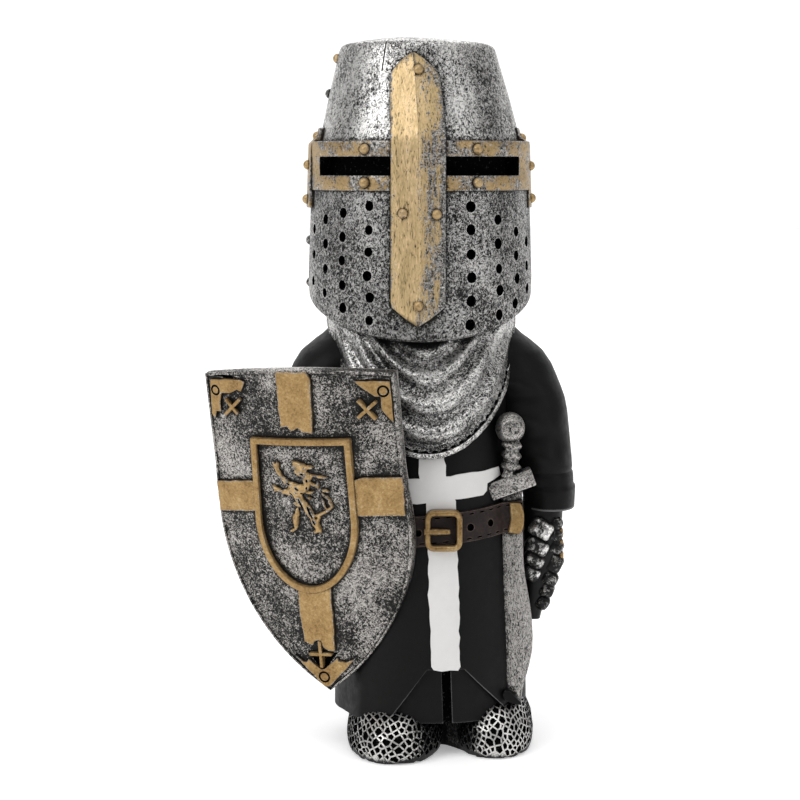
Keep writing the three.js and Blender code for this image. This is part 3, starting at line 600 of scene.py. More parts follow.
for side in (1, -1):
    sleeve = rolled(
        "sleeve", coat_black, 64, 80,
        lambda turn, share: sleeve_form(turn, share, side),
    )
    with at_work_on(sleeve):
        pick_faces(sleeve, lambda middle, normal: middle.z < SLEEVE[0][0] + 0.1 and normal.z < -0.9)
        bpy.ops.mesh.inset(thickness=0.7)
        bpy.ops.transform.translate(value=(0, 0, 1.2))
    lumpy(sleeve, 6, 0.22)
    combine(coat, sleeve)


# White cross
# A long cross laid on the coat's front, painted white by hand, with slightly uneven edges.

CROSS = {
    "proud": 0.5, "top_half": 2.7, "bottom_half": 3.05, "top_x": -1.8, "bottom_x": 1.35,
    "top": 66, "bottom": 19.2, "arm_z": 57.1, "arm_half": 2.55, "arm_left": -14, "arm_right": 12.9,
    "arm_step": 3.2, "rise": 0.09,
}

cross_white, shader = new_paint("cross_white")
brushmarks = grain(cross_white, 420, 4)
# The white greys on the cross's sides and foot, where it meets the coat: painted shade.
soil_and_shade = total(cross_white, (shelter(cross_white, 0.5), 0.9), (brushmarks, 0.25), (1.0, -0.1))
wire(
    cross_white, shader,
    Base_Color=toned(cross_white, soil_and_shade, [
        (0.35, (0.2, 0.19, 0.18)), (0.7, (0.64, 0.63, 0.62)), (1.0, (0.73, 0.72, 0.71)),
    ]),
    Roughness=spread(cross_white, brushmarks, 0.3, 0.7, 0.45, 0.62),
)
shader.inputs["Specular IOR Level"].default_value = 0.3
relief(cross_white, shader, brushmarks, 0.06)


def body_front(x, z, proud):
    """Y of the coat's front at a place, some way proud of it."""
    half, front, _, middle = at_height(BODY, z)
    reach = np.clip(np.abs(x - middle) / (half + proud), 0, 0.999)
    return -(front + proud) * (1 - reach ** 2.3) ** (1 / 2.3)


def laid_on_body(piece, proud):
    """Bends a flat plate, drawn across and up, round the coat's front, with its back inside the body."""
    flat = points_of(piece)
    y = body_front(flat[:, 0], flat[:, 1], proud) + flat[:, 2].max() - flat[:, 2]
    set_points(piece, np.column_stack([flat[:, 0], y, flat[:, 1]]))
    return faced_out(piece)


def wavering(corners, step, amount, seed):
    """An outline with points added along its sides and moved a little, as a hand-drawn edge is."""
    rng = np.random.default_rng(seed)
    outline = []
    for start, end in zip(corners, corners[1:] + corners[:1]):
        length = math.dist(start, end)
        count = max(1, round(length / step))
        for i in range(count):
            t = i / count
            wobble = rng.normal(0, amount, 2) if i else (0, 0)
            outline.append(tuple(between(start[k], end[k], t) + wobble[k] for k in (0, 1)))
    return outline


foot_left = CROSS["bottom_x"] - CROSS["bottom_half"]
foot_right = CROSS["bottom_x"] + CROSS["bottom_half"]
upright = cut_plate("cross_upright", cross_white, wavering([
    (CROSS["top_x"] - CROSS["top_half"], CROSS["top"]), (-4.1, 59), (-2.8, 54.5),
    (foot_left, CROSS["bottom"] + 0.8), (foot_left + 0.5, CROSS["bottom"] + 0.1),
    (foot_right - 0.5, CROSS["bottom"] - 0.1), (foot_right, CROSS["bottom"] + 0.7),
    (3.35, 54.5), (1.3, 59), (CROSS["top_x"] + CROSS["top_half"], CROSS["top"]),
], 1.5, 0.1, 3), 0, 2)


def arm_at(x, share):
    return x, CROSS["arm_z"] + CROSS["rise"] * x + share * CROSS["arm_half"]


arm_step = CROSS["arm_right"] - CROSS["arm_step"]
arm = cut_plate("cross_arm", cross_white, wavering([
    arm_at(CROSS["arm_left"], 1), arm_at(CROSS["arm_left"], -1),
    arm_at(arm_step - 0.6, -1), arm_at(arm_step + 0.2, -0.7), arm_at(arm_step + 0.3, -0.12),
    arm_at(CROSS["arm_right"], 0.3), arm_at(CROSS["arm_right"] - 0.4, 1),
], 1.5, 0.1, 5), 0, 2)
for plate in (upright, arm):
    sliced(plate, 0, -13.5, 13, 0.75)
    sliced(plate, 1, 20, 66, 1.5)
    laid_on_body(plate, CROSS["proud"])
    combine(coat, plate)


# Belt and buckle
# A brown leather belt round the waist, stitched along both edges, over the scabbard on one side.
# The square buckle and the belt's end plate are gold.

BELT = {"z": 48.5, "rise": 2.1, "half": 3.15, "proud": 1}
BUCKLE = {"x": 0.8, "z": 48.7, "width": 7.7, "height": 8.5, "bar": 1.15, "depth": 1.6, "corner": 1.9}
BELT_HOLE = {"radius": 0.78, "depth": 0.8, "turns": (-5.5, 22, 37), "drop": 0.25}
BELT_TIP = {"from": 14.5, "to": 17.8, "z": 50, "half": 3.35, "proud": 1.6}
STITCH = {"size": (1.35, 0.576, 0.36), "pitch": 2.5, "inset": 0.62}
SCABBARD_FRONT = -15.4

belt_leather, shader = new_paint("belt_leather")
pores = grain(belt_leather, 1300, 4, 0.6, 0.6)
mottle = grain(belt_leather, 230, 3)
handled = total(belt_leather, (mottle, 0.9), (pores, 0.6), (bareness(belt_leather, 0.3), -0.8), (1.0, 0.5))
wire(
    belt_leather, shader,
    Base_Color=toned(belt_leather, handled, [
        (0.3, (0.009, 0.006, 0.005)), (0.55, (0.024, 0.014, 0.013)), (0.95, (0.11, 0.08, 0.065)),
    ]),
    Roughness=spread(belt_leather, pores, 0.3, 0.7, 0.42, 0.6),
)
shader.inputs["Specular IOR Level"].default_value = 0.22
relief(belt_leather, shader, pores, 0.1)


def worn_gold(
    name, cover=0.0, stretch=(1, 1, 1), rubbed_by=(), pale=0.0, soil_and_shade=1.4, bright=0.8, wear=1.1, pits=0.0,
    patch=0.9,
):
    """Gold paint, thin and rubbed: the silver and black below show through in specks and along edges, and its
    hollows darken with soil and painted shade.
    """
    paint, shader = new_paint(name)
    fine = grain(paint, 1700, 3, 0.62, 0.7, stretch)
    specks = grain(paint, 2200, 3, 0.62, 0.9)
    patches = grain(paint, 210, 3, 0.6, 0.0, stretch)
    tone = total(paint, (fine, 0.75), (patches, 0.6), (1.0, -0.18))
    stops = [
        (0.28, (0.2, 0.115 + 0.035 * pale, 0.04 + 0.03 * pale)),
        (0.42, (0.37, 0.23 + 0.03 * pale, 0.092 + 0.035 * pale)),
        (0.55, (0.46, 0.3 + 0.03 * pale, 0.125 + 0.045 * pale)),
        (0.75, (0.7, 0.5 + 0.02 * pale, 0.25 + 0.05 * pale)),
    ]
    gold = toned(paint, tone, [(place, tuple(part * bright for part in colour)) for place, colour in stops])
    silver = toned(paint, specks, [(0.36, 0.01), (0.46, 0.12), (0.56, 0.36), (0.7, 0.7)], (1, 0.97, 0.93))
    rubbed = total(
        paint, (fine, 1.3), (patches, patch), (bareness(paint, 0.3), -wear), (1.0, 0.45 - patch / 2),
        *[(where(paint), weight) for where, weight in rubbed_by], (1.0, cover),
    )
    silvered = mixed(paint, "Mix", {
        "Factor": spread(paint, rubbed, 0.3, 0.42), 6: gold, 7: silver,
    }, data_type="RGBA").outputs[2]
    # Black in the pits, and darkening in hollows: soil, and painted shade.
    grime_and_shade = total(paint, (fine, 0.7 + pits), (shelter(paint, 0.8), soil_and_shade), (1.0, 0.12 - soil_and_shade - 0.6 * pits))
    colour = mixed(paint, "Mix", {
        "Factor": spread(paint, grime_and_shade, 0.0, 0.24), 6: (0.012, 0.009, 0.006, 1), 7: silvered,
    }, data_type="RGBA").outputs[2]
    wire(
        paint, shader,
        Base_Color=colour,
        Metallic=spread(paint, grime_and_shade, 0.05, 0.2, 0.0, 0.6),
        Roughness=spread(paint, fine, 0.3, 0.7, 0.34, 0.5),
    )
    shader.inputs["Specular IOR Level"].default_value = 0.25
    relief(paint, shader, fine, 0.09)
    return paint


trim_gold = worn_gold("trim_gold")
buckle_gold = worn_gold("buckle_gold", cover=-1, soil_and_shade=2.4, bright=0.68, wear=0.3, pits=0.6)


def belt_form(turn, share, proud):
    z = BELT["z"] + BELT["rise"] * np.sin(turn) + (share * 2 - 1) * BELT["half"]
    points = on_body(turn, z, proud)
    over = (points[:, 0] > BELT_TIP["from"] - 2) & (points[:, 1] < 0) & (points[:, 0] < 18.2)
    points[over, 1] = np.minimum(points[over, 1], SCABBARD_FRONT - 0.7 * proud)
    return points


belt = rolled("belt", belt_leather, 120, 10, lambda turn, share: belt_form(turn, share, BELT["proud"]))
for turn in np.radians(BELT_HOLE["turns"]):
    x, y, z = belt_form(np.array([turn]), np.array([0.5]), BELT["proud"])[0]
    hole = peg("belt_hole", (x, y, z - BELT_HOLE["drop"]), BELT_HOLE["radius"], BELT_HOLE["depth"], turn)
    combine(belt, hole, "DIFFERENCE")


def gathered(name, pieces):
    """Pieces that don't touch, made one object."""
    only(pieces[0])
    for piece in pieces:
        piece.select_set(True)
    bpy.ops.object.join()
    whole = bpy.context.active_object
    whole.name = name
    return whole


def beads_along(name, paint, path, pitch, size):
    """Small pointed beads, end to end along a path: size is their length, width and depth."""
    path = np.asarray(path, float)
    run = np.concatenate([[0], np.cumsum(np.linalg.norm(np.diff(path, axis=0), axis=1))])
    beads = []
    for at in np.arange(pitch / 2, run[-1], pitch):
        here, ahead = (np.array([np.interp(at + d, run, path[:, k]) for k in range(3)]) for d in (0, 0.3))
        turn = Vector(ahead - here).to_track_quat("X", "Z")
        bpy.ops.mesh.primitive_ico_sphere_add(subdivisions=2, radius=0.5, location=here)
        bead = take(name, paint)
        bead.rotation_euler = turn.to_euler()
        bead.scale = size
        bpy.ops.object.transform_apply()
        beads.append(bead)
    return gathered(name, beads)


seam_share = STITCH["inset"] / (2 * BELT["half"])
turns = np.linspace(-np.pi, np.pi, 400)
for share in (seam_share, 1 - seam_share):
    seam = belt_form(turns, np.full(400, share), BELT["proud"])
    stitches = beads_along("stitches", hollow_black, seam, STITCH["pitch"], STITCH["size"])
    combine(belt, stitches, "DIFFERENCE")
combine(coat, belt)

tip_corners = [(BELT_TIP["from"] + 0.2, 1), (BELT_TIP["from"] + 0.5, 0), (BELT_TIP["from"] - 0.1, -0.9)]
tip_corners += [
    (BELT_TIP["to"] - 1.5 + 1.5 * math.sin(a) ** 0.7, -math.cos(a))
    for a in np.linspace(0.1, math.pi - 0.1, 12)
]
tip = cut_plate("belt_tip", buckle_gold, [
    (x, BELT_TIP["z"] + BELT_TIP["half"] * share) for x, share in tip_corners
], 0, BELT_TIP["proud"] + 1.8)
with at_work_on(tip):
    pick_faces(tip, lambda middle, normal: normal.z > 0.9)
    bpy.ops.mesh.bevel(offset=0.45, segments=3)
flat = points_of(tip)
set_points(tip, np.column_stack([flat[:, 0], SCABBARD_FRONT + 1.8 - flat[:, 2], flat[:, 1]]))
combine(coat, faced_out(tip))

buckle_front = -BODY[2][2] - BELT["proud"] - BUCKLE["depth"]
bpy.ops.mesh.primitive_plane_add(
    size=1, location=(BUCKLE["x"], buckle_front, BUCKLE["z"]), rotation=(math.pi / 2, 0, 0),
)
buckle = take("buckle", buckle_gold)
buckle.scale = (BUCKLE["width"], BUCKLE["height"], 1)
bpy.ops.object.transform_apply()
with at_work_on(buckle):
    bpy.ops.mesh.bevel(offset=BUCKLE["corner"], segments=6, affect="VERTICES")
    bpy.ops.mesh.select_all(action="SELECT")
    bpy.ops.mesh.inset(thickness=BUCKLE["bar"])
    bpy.ops.mesh.delete(type="FACE")
    bpy.ops.mesh.select_all(action="SELECT")
    bpy.ops.mesh.extrude_region_move(TRANSFORM_OT_translate={"value": (0, 2.6, 0)})
    bpy.ops.mesh.select_all(action="SELECT")
    bpy.ops.mesh.normals_make_consistent(inside=False)
    bpy.ops.mesh.select_mode(type="EDGE")
    bpy.ops.mesh.select_all(action="DESELECT")
    shape = bmesh.from_edit_mesh(buckle.data)
    for edge in shape.edges:
        in_front = all(corner.co.y < buckle_front + 0.01 for corner in edge.verts)
        edge.select_set(in_front and edge.calc_face_angle(0) > 0.8)
    bmesh.update_edit_mesh(buckle.data)
    bpy.ops.mesh.bevel(offset=0.5, segments=4)
bpy.ops.mesh.primitive_cone_add(
    vertices=18, radius1=0.8, radius2=0.5, depth=5.4,
    location=(BUCKLE["x"] - 1.35, buckle_front + 0.75, BUCKLE["z"] - 0.2), rotation=(0, math.pi / 2, 0),
)
tongue = take("buckle_tongue", buckle_gold)
bpy.ops.object.transform_apply()
with at_work_on(tongue):
    bpy.ops.mesh.bevel(offset=0.2, segments=3)
combine(buckle, tongue)
combine(coat, buckle)


# Cowl
# A mail cowl over the shoulders, carved in long swags and brushed with silver.
# A rolled rim runs round its edge, marked off by a row of black stitches.

COWL = {
    "front": 63.4, "side": 92.5, "back": 73, "neck": 94, "rim": 0.5, "rim_wide": 1.1, "proud": 1.2,
    "swell": 3, "fold": 0.9, "folds": 5.2, "run": 30, "slope": 1.49, "throat": 1.5, "throat_shift": 0.7,
}
COWL_STITCH = {"inset": 1.45, "pitch": 2, "size": (1.35, 0.6, 0.7)}

# The cowl darkens in its swags and under the helm's rim: the black ground left there, and painted shade.
cowl_silver = dry_brushed(
    "cowl_silver", 0.54, contrast=2.4, patch=1.1, wash_and_shade=1.7, reach=2.6, edge=0.5, bright=0.78,
)


def cowl_form(turn, inset):
    """Points of the cowl, some way up and in from its edge along the cloth."""
    ahead, aside = np.cos(turn), np.sin(turn)
    edge = np.where(
        ahead > 0, between(COWL["side"], COWL["front"], ahead), between(COWL["side"], COWL["back"], -ahead),
    )
    steep = np.sqrt(1 + (COWL["slope"] * aside) ** 2)
    z = np.minimum(edge + inset * steep, COWL["neck"])
    share = (z - edge) / (COWL["neck"] - edge)
    half, front, back, x = at_height(BODY, np.minimum(z, 80))
    rim = COWL["rim"] * np.clip((COWL["rim_wide"] + 0.25 - inset) / 0.25, 0, 1)
    rim = rim * np.clip(inset / 0.3 + 0.4, 0, 1)
    high = np.clip((z - 63) / COWL["run"], 0, 1)
    throat = np.clip((z - 76) / 14, 0, 1)
    half, x = half + COWL["throat"] * throat, x - COWL["throat_shift"] * throat
    swell = COWL["swell"] * np.sin(np.pi * np.minimum(high * 1.2, 1)) + rim + COWL["proud"]
    sweep = (inset + 1.2 * aside + 2) / COWL["run"]
    wave = np.sin(sweep * COWL["folds"] * 2 * np.pi)
    crest = np.where(wave > 0, np.abs(wave) ** 1.3, -np.abs(wave) ** 0.8)
    settled = np.clip((inset - COWL["rim_wide"]) / 2, 0, 1) * np.clip((92 - z) / 8, 0, 1)
    fold = COWL["fold"] * np.maximum(ahead, 0.2) ** 0.5 * crest * settled
    grow = (swell + fold) * np.where(share > 0.97, 0.6, 1)
    across, deep = oval(turn, half + grow * 0.35, front + grow, back + grow, 2.1)
    return np.column_stack([x + across, deep, z])


COWL_ROWS = np.concatenate([[0, 0.15, 0.4, 0.75, 1.1, 1.35], np.linspace(1.6, 31, 92)])
cowl = rolled(
    "cowl", cowl_silver, 160, len(COWL_ROWS) - 1,
    lambda turn, share: cowl_form(turn, COWL_ROWS[np.rint(share * (len(COWL_ROWS) - 1)).astype(int)]),
)
lumpy(cowl, 2.2, 0.3)
turns = np.linspace(-1.35, 1.35, 400)
seam = cowl_form(turns, np.full(400, COWL_STITCH["inset"]))
stitches = beads_along("cowl_stitches", hollow_black, seam, COWL_STITCH["pitch"], COWL_STITCH["size"])
combine(cowl, stitches, "DIFFERENCE")
combine(coat, cowl)


# Helm
# A great helm of plates: a cone with a low dome over the brow, a skirt below it, and gold brow bands.
# Slits and breath holes are sunk to a black floor, and each rivet is a small dome, gold except three plain
# silver ones at the left.

HELM = {"x": -3.9, "rim_front": 87.6, "rim_side": 96.8, "brow": 128.4, "crown": 147.6, "back": 23.78}
HELM_SKIRT = [(87.6, 23.5), (100, 23.9), (128.4, 22.9)]
HELM_CONE = [(128.4, 21.4), (138, 19.1), (147.6, 16.5)]
HELM_DOME = {"lean_x": -3, "lean_y": -7, "lean_cone": -0.6}
HELM_ROWS = {"skirt": 45, "cone": 46, "dome": 74, "all": 80}
DOME_ROWS = [
    (1, 147.6), (0.975, 148.3), (0.93, 148.75), (0.84, 149.05), (0.62, 149.45), (0.35, 149.8), (0.12, HEIGHT),
]
BAND = {"proud": 0.75, "reach": 77, "upper": 125.2, "lower": 118.3, "height": 3.3}
FLARE = {"from": 75, "to": 87, "bottom": 114.6, "top": 131.4, "left": 0.9, "right": 0.45}
SLIT = {"from": 9, "left": 63, "right": 60, "bottom": 121.4, "top": 125.3, "depth": 2.6}
NASAL = {
    "x": -4.5, "top": 146.4, "shoulder": 141.9, "foot": 94.9, "tip": 90.9,
    "half": 5.6, "ridge": 0.9, "lean": -1,
}
NASAL_FACE = [(90.9, 24.5), (112, 24.4), (117, 24.5), (129.2, 24.5), (133, 23), (140, 19.8), (146.4, 17.9)]
NASAL_CREST = [(-1, 0), (-0.9, 0.2), (-0.1, 0.85), (0, 1), (0.1, 0.68), (0.2, 0.66), (0.9, 0.15), (1, 0)]
BREATH = {"radius": 1.05, "depth": 1.5}
BREATH_COLUMNS = (
    # turn, top, count, pitch
    (-27, 115.1, 6, 4.65), (-43, 113.7, 5, 4.9), (-57, 112.4, 4, 5.1), (-71, 110.2, 3, 5.4),
    (25.5, 115.1, 6, 4.8), (43, 112.4, 5, 4.9), (57, 109.9, 4, 4.95), (71, 107.6, 3, 5.0),
)
RIVET = 1.05
HELM_RIVETS = (
    # turn, z, proud of the plate
    (-29, 126.8, 0.75), (29, 126.8, 0.75), (-29, 120, 0.75), (29, 120, 0.75),
    (-82, 129.6, 0.8), (-82, 123.6, 0.9), (-82, 116.4, 0.9),
    (82, 129.2, 0.4), (82, 123.4, 0.4), (82, 116.6, 0.4), (-90, 146, 0),
)
PLAIN_RIVETS = ((-91, 138.6, -0.1), (-91, 107.6, -0.2), (-91, 98.6, -0.4))
NASAL_RIVETS = ((0, 142.8), (-3.1, 113.8), (3.7, 113.6), (0, 95.1))
SEAM = {"turn": -25, "bottom": 142.6, "wide": 0.3, "deep": 0.4}

# The skirt and the crown take two copies of one silver: the crown's is brushed thicker and brighter, as
# painted light where the crown tilts up to the lamps.
helm_silver = dry_brushed(
    "helm_silver", 0.42, patch=0.8, patch_scale=130, wash_and_shade=1.3, bright=0.6, stretch=(1, 1, 0.85),
)
lit_crown_silver = dry_brushed(
    "lit_crown_silver", 0.54, contrast=2.3, patch=1.3, patch_scale=120, wash_and_shade=1.3, bright=0.75,
    stretch=(1, 1, 0.8),
)
band_gold = worn_gold("band_gold", cover=0.3, pale=0.9, soil_and_shade=1.8, bright=1.08, pits=1, patch=1.6)
rivet_gold = worn_gold("rivet_gold", cover=0.1, pale=0.7, soil_and_shade=1.0, bright=1.05)


def beside_ridge(paint):
    """Rises over the plate's right half, where the gold is thinnest."""
    return spread(paint, far_along(paint, "X"), NASAL["x"] - 0.5, NASAL["x"] + 2.5)


def at_edges(paint):
    away = sum_of(paint, "ABSOLUTE", sum_of(paint, "ADD", far_along(paint, "X"), -NASAL["x"]))
    return spread(paint, away, NASAL["half"] - 1.5, NASAL["half"])


def at_ends(paint):
    z = far_along(paint, "Z")
    head = spread(paint, z, NASAL["shoulder"], NASAL["top"])
    foot = spread(paint, z, NASAL["foot"] + 2, NASAL["tip"])
    return sum_of(paint, "ADD", head, foot)


nasal_gold = worn_gold(
    "nasal_gold", cover=0.0, stretch=(2, 1, 0.45), pale=1.3,
    rubbed_by=[(beside_ridge, 0.4), (at_edges, 0.3), (at_ends, 0.25)],
    soil_and_shade=2.2, bright=1.55, pits=1.0, patch=1.3,
)


def radius_at(table, z):
    table = np.array(table, float)
    return np.interp(z, table[:, 0], table[:, 1])


def helm_radius(z):
    return np.where(z > HELM["brow"], radius_at(HELM_CONE, z), radius_at(HELM_SKIRT, z))


def on_helm(turn, z, proud):
    radius = helm_radius(z) + proud
    lean = HELM_DOME["lean_cone"] * np.clip((z - HELM["brow"]) / (HELM["crown"] - HELM["brow"]), 0, 1)
    return np.column_stack([HELM["x"] + lean + radius * np.sin(turn), -radius * np.cos(turn), z + 0 * turn])


def helm_form(turn, row):
    """Rows of the helm: a turned-in rim, the skirt, a step at the brow, the cone, and the low dome."""
    rim = between(HELM["rim_side"], HELM["rim_front"], np.maximum(np.cos(turn), 0))
    rise = np.interp(row, [1, HELM_ROWS["skirt"], HELM_ROWS["cone"], HELM_ROWS["dome"]], [0, 1, 1, 2])
    skirt = between(rim + 0.4, HELM["brow"], rise)
    cone = between(HELM["brow"] + 0.05, HELM["crown"], rise - 1)
    height = np.where(row < 1, rim, np.where(row < HELM_ROWS["cone"], skirt, cone))
    points = on_helm(turn, height, np.where(row < 1, -0.5, 0))
    for step, (share, lift) in enumerate(DOME_ROWS):
        here = row == HELM_ROWS["dome"] + step
        middle_x = HELM["x"] + HELM_DOME["lean_cone"]
        points[here, 0] = between(middle_x + HELM_DOME["lean_x"], points[here, 0], share)
        points[here, 1] = between(HELM_DOME["lean_y"], points[here, 1], share)
        points[here, 2] = lift
    points[:, 1] = np.minimum(points[:, 1], HELM["back"])
    return points


helm = rolled(
    "helm", helm_silver, 150, HELM_ROWS["all"],
    lambda turn, share: helm_form(turn, np.rint(share * HELM_ROWS["all"])),
)
helm.data.materials.append(lit_crown_silver)
with at_work_on(helm):
    pick_faces(helm, lambda middle, normal: middle.z > HELM["brow"] + 0.03)
    helm.active_material_index = 1
    bpy.ops.object.material_slot_assign()


def bent_block(name, paint, cells, place):
    """A cube sliced into cells and bent: place(across, deep, up) gives its points from shares of 0 to 1."""
    bpy.ops.mesh.primitive_cube_add(size=1, location=(0.5, 0.5, 0.5))
    piece = take(name, paint)
    bpy.ops.object.transform_apply()
    for axis, count in enumerate(cells):
        if count > 1:
            sliced(piece, axis, 1 / count, 1 - 0.5 / count, 1 / count)
    shares = points_of(piece)
    set_points(piece, place(*shares.T))
    return faced_out(piece)


def helm_sector(name, paint, side, inner, outer, start, end, bottom, top):
    """A stretch of hoop round the helm."""
    cells = (max(2, round((end - start) / 4)), 1, 1)

    def place(across, deep, up):
        turn = side * np.radians(between(start, end, across))
        radius = between(outer, inner, deep)
        x, y = HELM["x"] + radius * np.sin(turn), -radius * np.cos(turn)
        return np.column_stack([x, y, between(bottom, top, up)])

    return bent_block(name, paint, cells, place)


def softened(piece, width, segments=2, angle=0.6):
    """Rounds a piece's sharp edges."""
    with at_work_on(piece):
        bpy.ops.mesh.select_all(action="DESELECT")
        bpy.ops.mesh.select_mode(type="EDGE")
        bpy.ops.mesh.edges_select_sharp(sharpness=angle)
        bpy.ops.mesh.bevel(offset=width, segments=segments)
    return piece


def slit_cutter(side):
    cutter = helm_sector(
        "slit", hollow_black, side, HELM_SKIRT[-1][1] - SLIT["depth"], HELM_SKIRT[-1][1] + 3,
        SLIT["from"], SLIT["right"] if side > 0 else SLIT["left"], SLIT["bottom"], SLIT["top"],
    )
    return softened(cutter, 0.35)


for side in (1, -1):
    skirt_top = HELM_SKIRT[-1][1]
    slit_end = SLIT["right"] if side > 0 else SLIT["left"]
    bands = [
        helm_sector(
            "brow_band", band_gold, side, HELM_CONE[0][1] - 1, skirt_top + BAND["proud"],
            6, BAND["reach"], bottom, bottom + BAND["height"],
        )
        for bottom in (BAND["upper"], BAND["lower"])
    ]
    web = helm_sector(
        "slit_end", band_gold, side, HELM_CONE[0][1] - 1, skirt_top + BAND["proud"] - 0.05,
        slit_end - 1, BAND["reach"], BAND["lower"] + 1, BAND["upper"] + 1,
    )
    for band in bands:
        combine(web, softened(band, 0.22))
    combine(helm, web)
    combine(helm, slit_cutter(side), "DIFFERENCE")
    flare_proud = FLARE["right"] if side > 0 else FLARE["left"]

    def flare_form(across, deep, up):
        levels = [FLARE["bottom"], HELM["brow"] - 0.4, HELM["brow"] + 1.4, FLARE["top"]]
        z = np.interp(up, [0, 1 / 3, 2 / 3, 1], levels)
        turn = side * np.radians(between(FLARE["from"], FLARE["to"], across))
        return on_helm(turn, z, between(flare_proud, -3, deep))

    combine(helm, softened(bent_block("flare", band_gold, (3, 1, 3), flare_form), 0.25))

rng = np.random.default_rng(21)
holes = []
for degrees, top, count, pitch in BREATH_COLUMNS:
    for i in range(count):
        turn = math.radians(degrees + rng.normal(0, 0.35))
        mouth = on_helm(np.array([turn]), np.array([top - i * pitch + rng.normal(0, 0.1)]), 0)[0]
        size = BREATH["radius"] * (1.08 if degrees > 0 else 1) * rng.uniform(0.92, 1.08)
        squash = rng.uniform(0.88, 1)
        holes.append(peg("breath_hole", mouth, size, BREATH["depth"], turn, squash, sides=14))
combine(helm, gathered("breath_holes", holes), "DIFFERENCE")


def seam_form(across, deep, up):
    z = between(SEAM["bottom"], HEIGHT, up)
    turn = np.radians(SEAM["turn"] + 1.5 * up) + (across - 0.5) * SEAM["wide"] / 17
    edge = on_helm(turn, np.minimum(z, HELM["crown"]), between(0.5, -SEAM["deep"] - 2.5 * up, deep))
    edge[:, 2] = z
    return edge


combine(helm, bent_block("crown_seam", helm_silver, (1, 1, 4), seam_form), "DIFFERENCE")


def nasal_form(across, deep, up):
    z = between(NASAL["tip"], NASAL["top"], up)
    upper = np.clip((NASAL["top"] - z) / (NASAL["top"] - NASAL["shoulder"]), 0, 1) ** 0.75
    lower = np.clip((z - NASAL["tip"]) / (NASAL["foot"] - NASAL["tip"]), 0, 1) ** 0.85
    half = 0.2 + (NASAL["half"] - 0.2) * np.minimum(upper, lower) * (1 - 0.09 * np.clip((z - 129) / 14, 0, 1))
    side = across * 2 - 1
    radius = radius_at(NASAL_FACE, z) + np.interp(side, *zip(*NASAL_CREST))
    x = NASAL["x"] + NASAL["lean"] * np.clip((z - 128) / 18, 0, 1) ** 1.3
    front = -np.sqrt(radius ** 2 - (side * half) ** 2)
    return np.column_stack([x + side * half, between(front, -11, deep), z])


nasal = softened(bent_block("nasal", nasal_gold, (20, 1, 44), nasal_form), 0.2, 2, 0.9)
combine(helm, nasal)

rivets = [
    (tuple(on_helm(np.array([math.radians(turn)]), np.array([float(z)]), proud)[0]), paint)
    for rows, paint in ((HELM_RIVETS, rivet_gold), (PLAIN_RIVETS, helm_silver)) for turn, z, proud in rows
]
for across, z in NASAL_RIVETS:
    front = -float(radius_at(NASAL_FACE, z)) - (NASAL["ridge"] * (1 - abs(across) / NASAL["half"]) - 0.35)
    rivets.append(((NASAL["x"] + across, front, z), rivet_gold))
for place, paint in rivets:
    combine(helm, ball("rivet", paint, place, (2 * RIVET,) * 3))
combine(coat, helm)


# Sword and scabbard
# The sword hangs at the side behind the belt, with a faceted pommel, a bound grip and a slanted guard.
# Its scabbard is a ridged bar that swells and narrows again at the hem, where a corner of the coat laps it.

SWORD = {"x": 15.7, "y": -13.6, "pommel_z": 69, "pommel": 3.35, "grip_top": 67, "grip_foot": 58}
HILT_Y = SWORD["y"] - 1.6
GRIP = {"radius": 1.85, "binding": 0.3, "turns": 4.2, "ribs": 0.12}
GUARD = {"x": 15.1, "z": 57.2, "length": 9.8, "height": 3.7, "depth": 4.4, "slant": 20}
SCABBARD = {
    "x": 15.2, "half": 2.25, "depth": 1.8, "top": 56, "foot": 12.2, "lean": 1.2, "cut": 2,
    "ridge": 0.7, "belly": 1.6, "taper": 1.2, "taper_top": 21,
}
HEM_FLAP = [(14.1, 14.2), (17.3, 11.2), (17.5, 10.6), (15.6, 10.7), (13.2, 12.2)]

sword_silver = dry_brushed(
    "sword_silver", 0.62, contrast=1.8, patch_scale=160, patch=0.4, edge=0.7, bright=0.55,
    tint=(1, 0.96, 0.92),
)
scabbard_silver = dry_brushed(
    "scabbard_silver", 0.6, contrast=1.5, fine_scale=2700, patch_scale=160, patch=0.6, edge=0.9, bright=0.48,
    tint=(1, 0.96, 0.92), stretch=(1, 1, 0.45),
)

pommel = ball(
    "pommel", sword_silver, (SWORD["x"] - 0.9, HILT_Y, SWORD["pommel_z"]), (2 * SWORD["pommel"],) * 3,
    segments=10, rings=7,
)
softened(pommel, 0.5, 3, 0.2)
facets = points_of(pommel)
facets[:, 1] = np.maximum(facets[:, 1], HILT_Y - SWORD["pommel"] * 0.82)
set_points(pommel, facets)
combine(coat, pommel)


def grip_form(turn, share):
    z = between(SWORD["grip_foot"], SWORD["grip_top"] + 0.6, share)
    binding = GRIP["binding"] * np.sin(share * GRIP["turns"] * 2 * np.pi + 0.8 * np.sin(turn))
    radius = GRIP["radius"] + binding + GRIP["ribs"] * np.sin(5 * turn + 9 * share)
    return np.column_stack([SWORD["x"] - 0.6 + radius * np.sin(turn), HILT_Y - radius * np.cos(turn), z])


combine(coat, rolled("grip", sword_silver, 28, 48, grip_form))

guard = block(
    "guard", sword_silver, (GUARD["x"], HILT_Y, GUARD["z"]),
    (GUARD["length"], GUARD["depth"], GUARD["height"]), (0, -math.radians(GUARD["slant"]), 0),
)
combine(coat, softened(guard, 0.35))


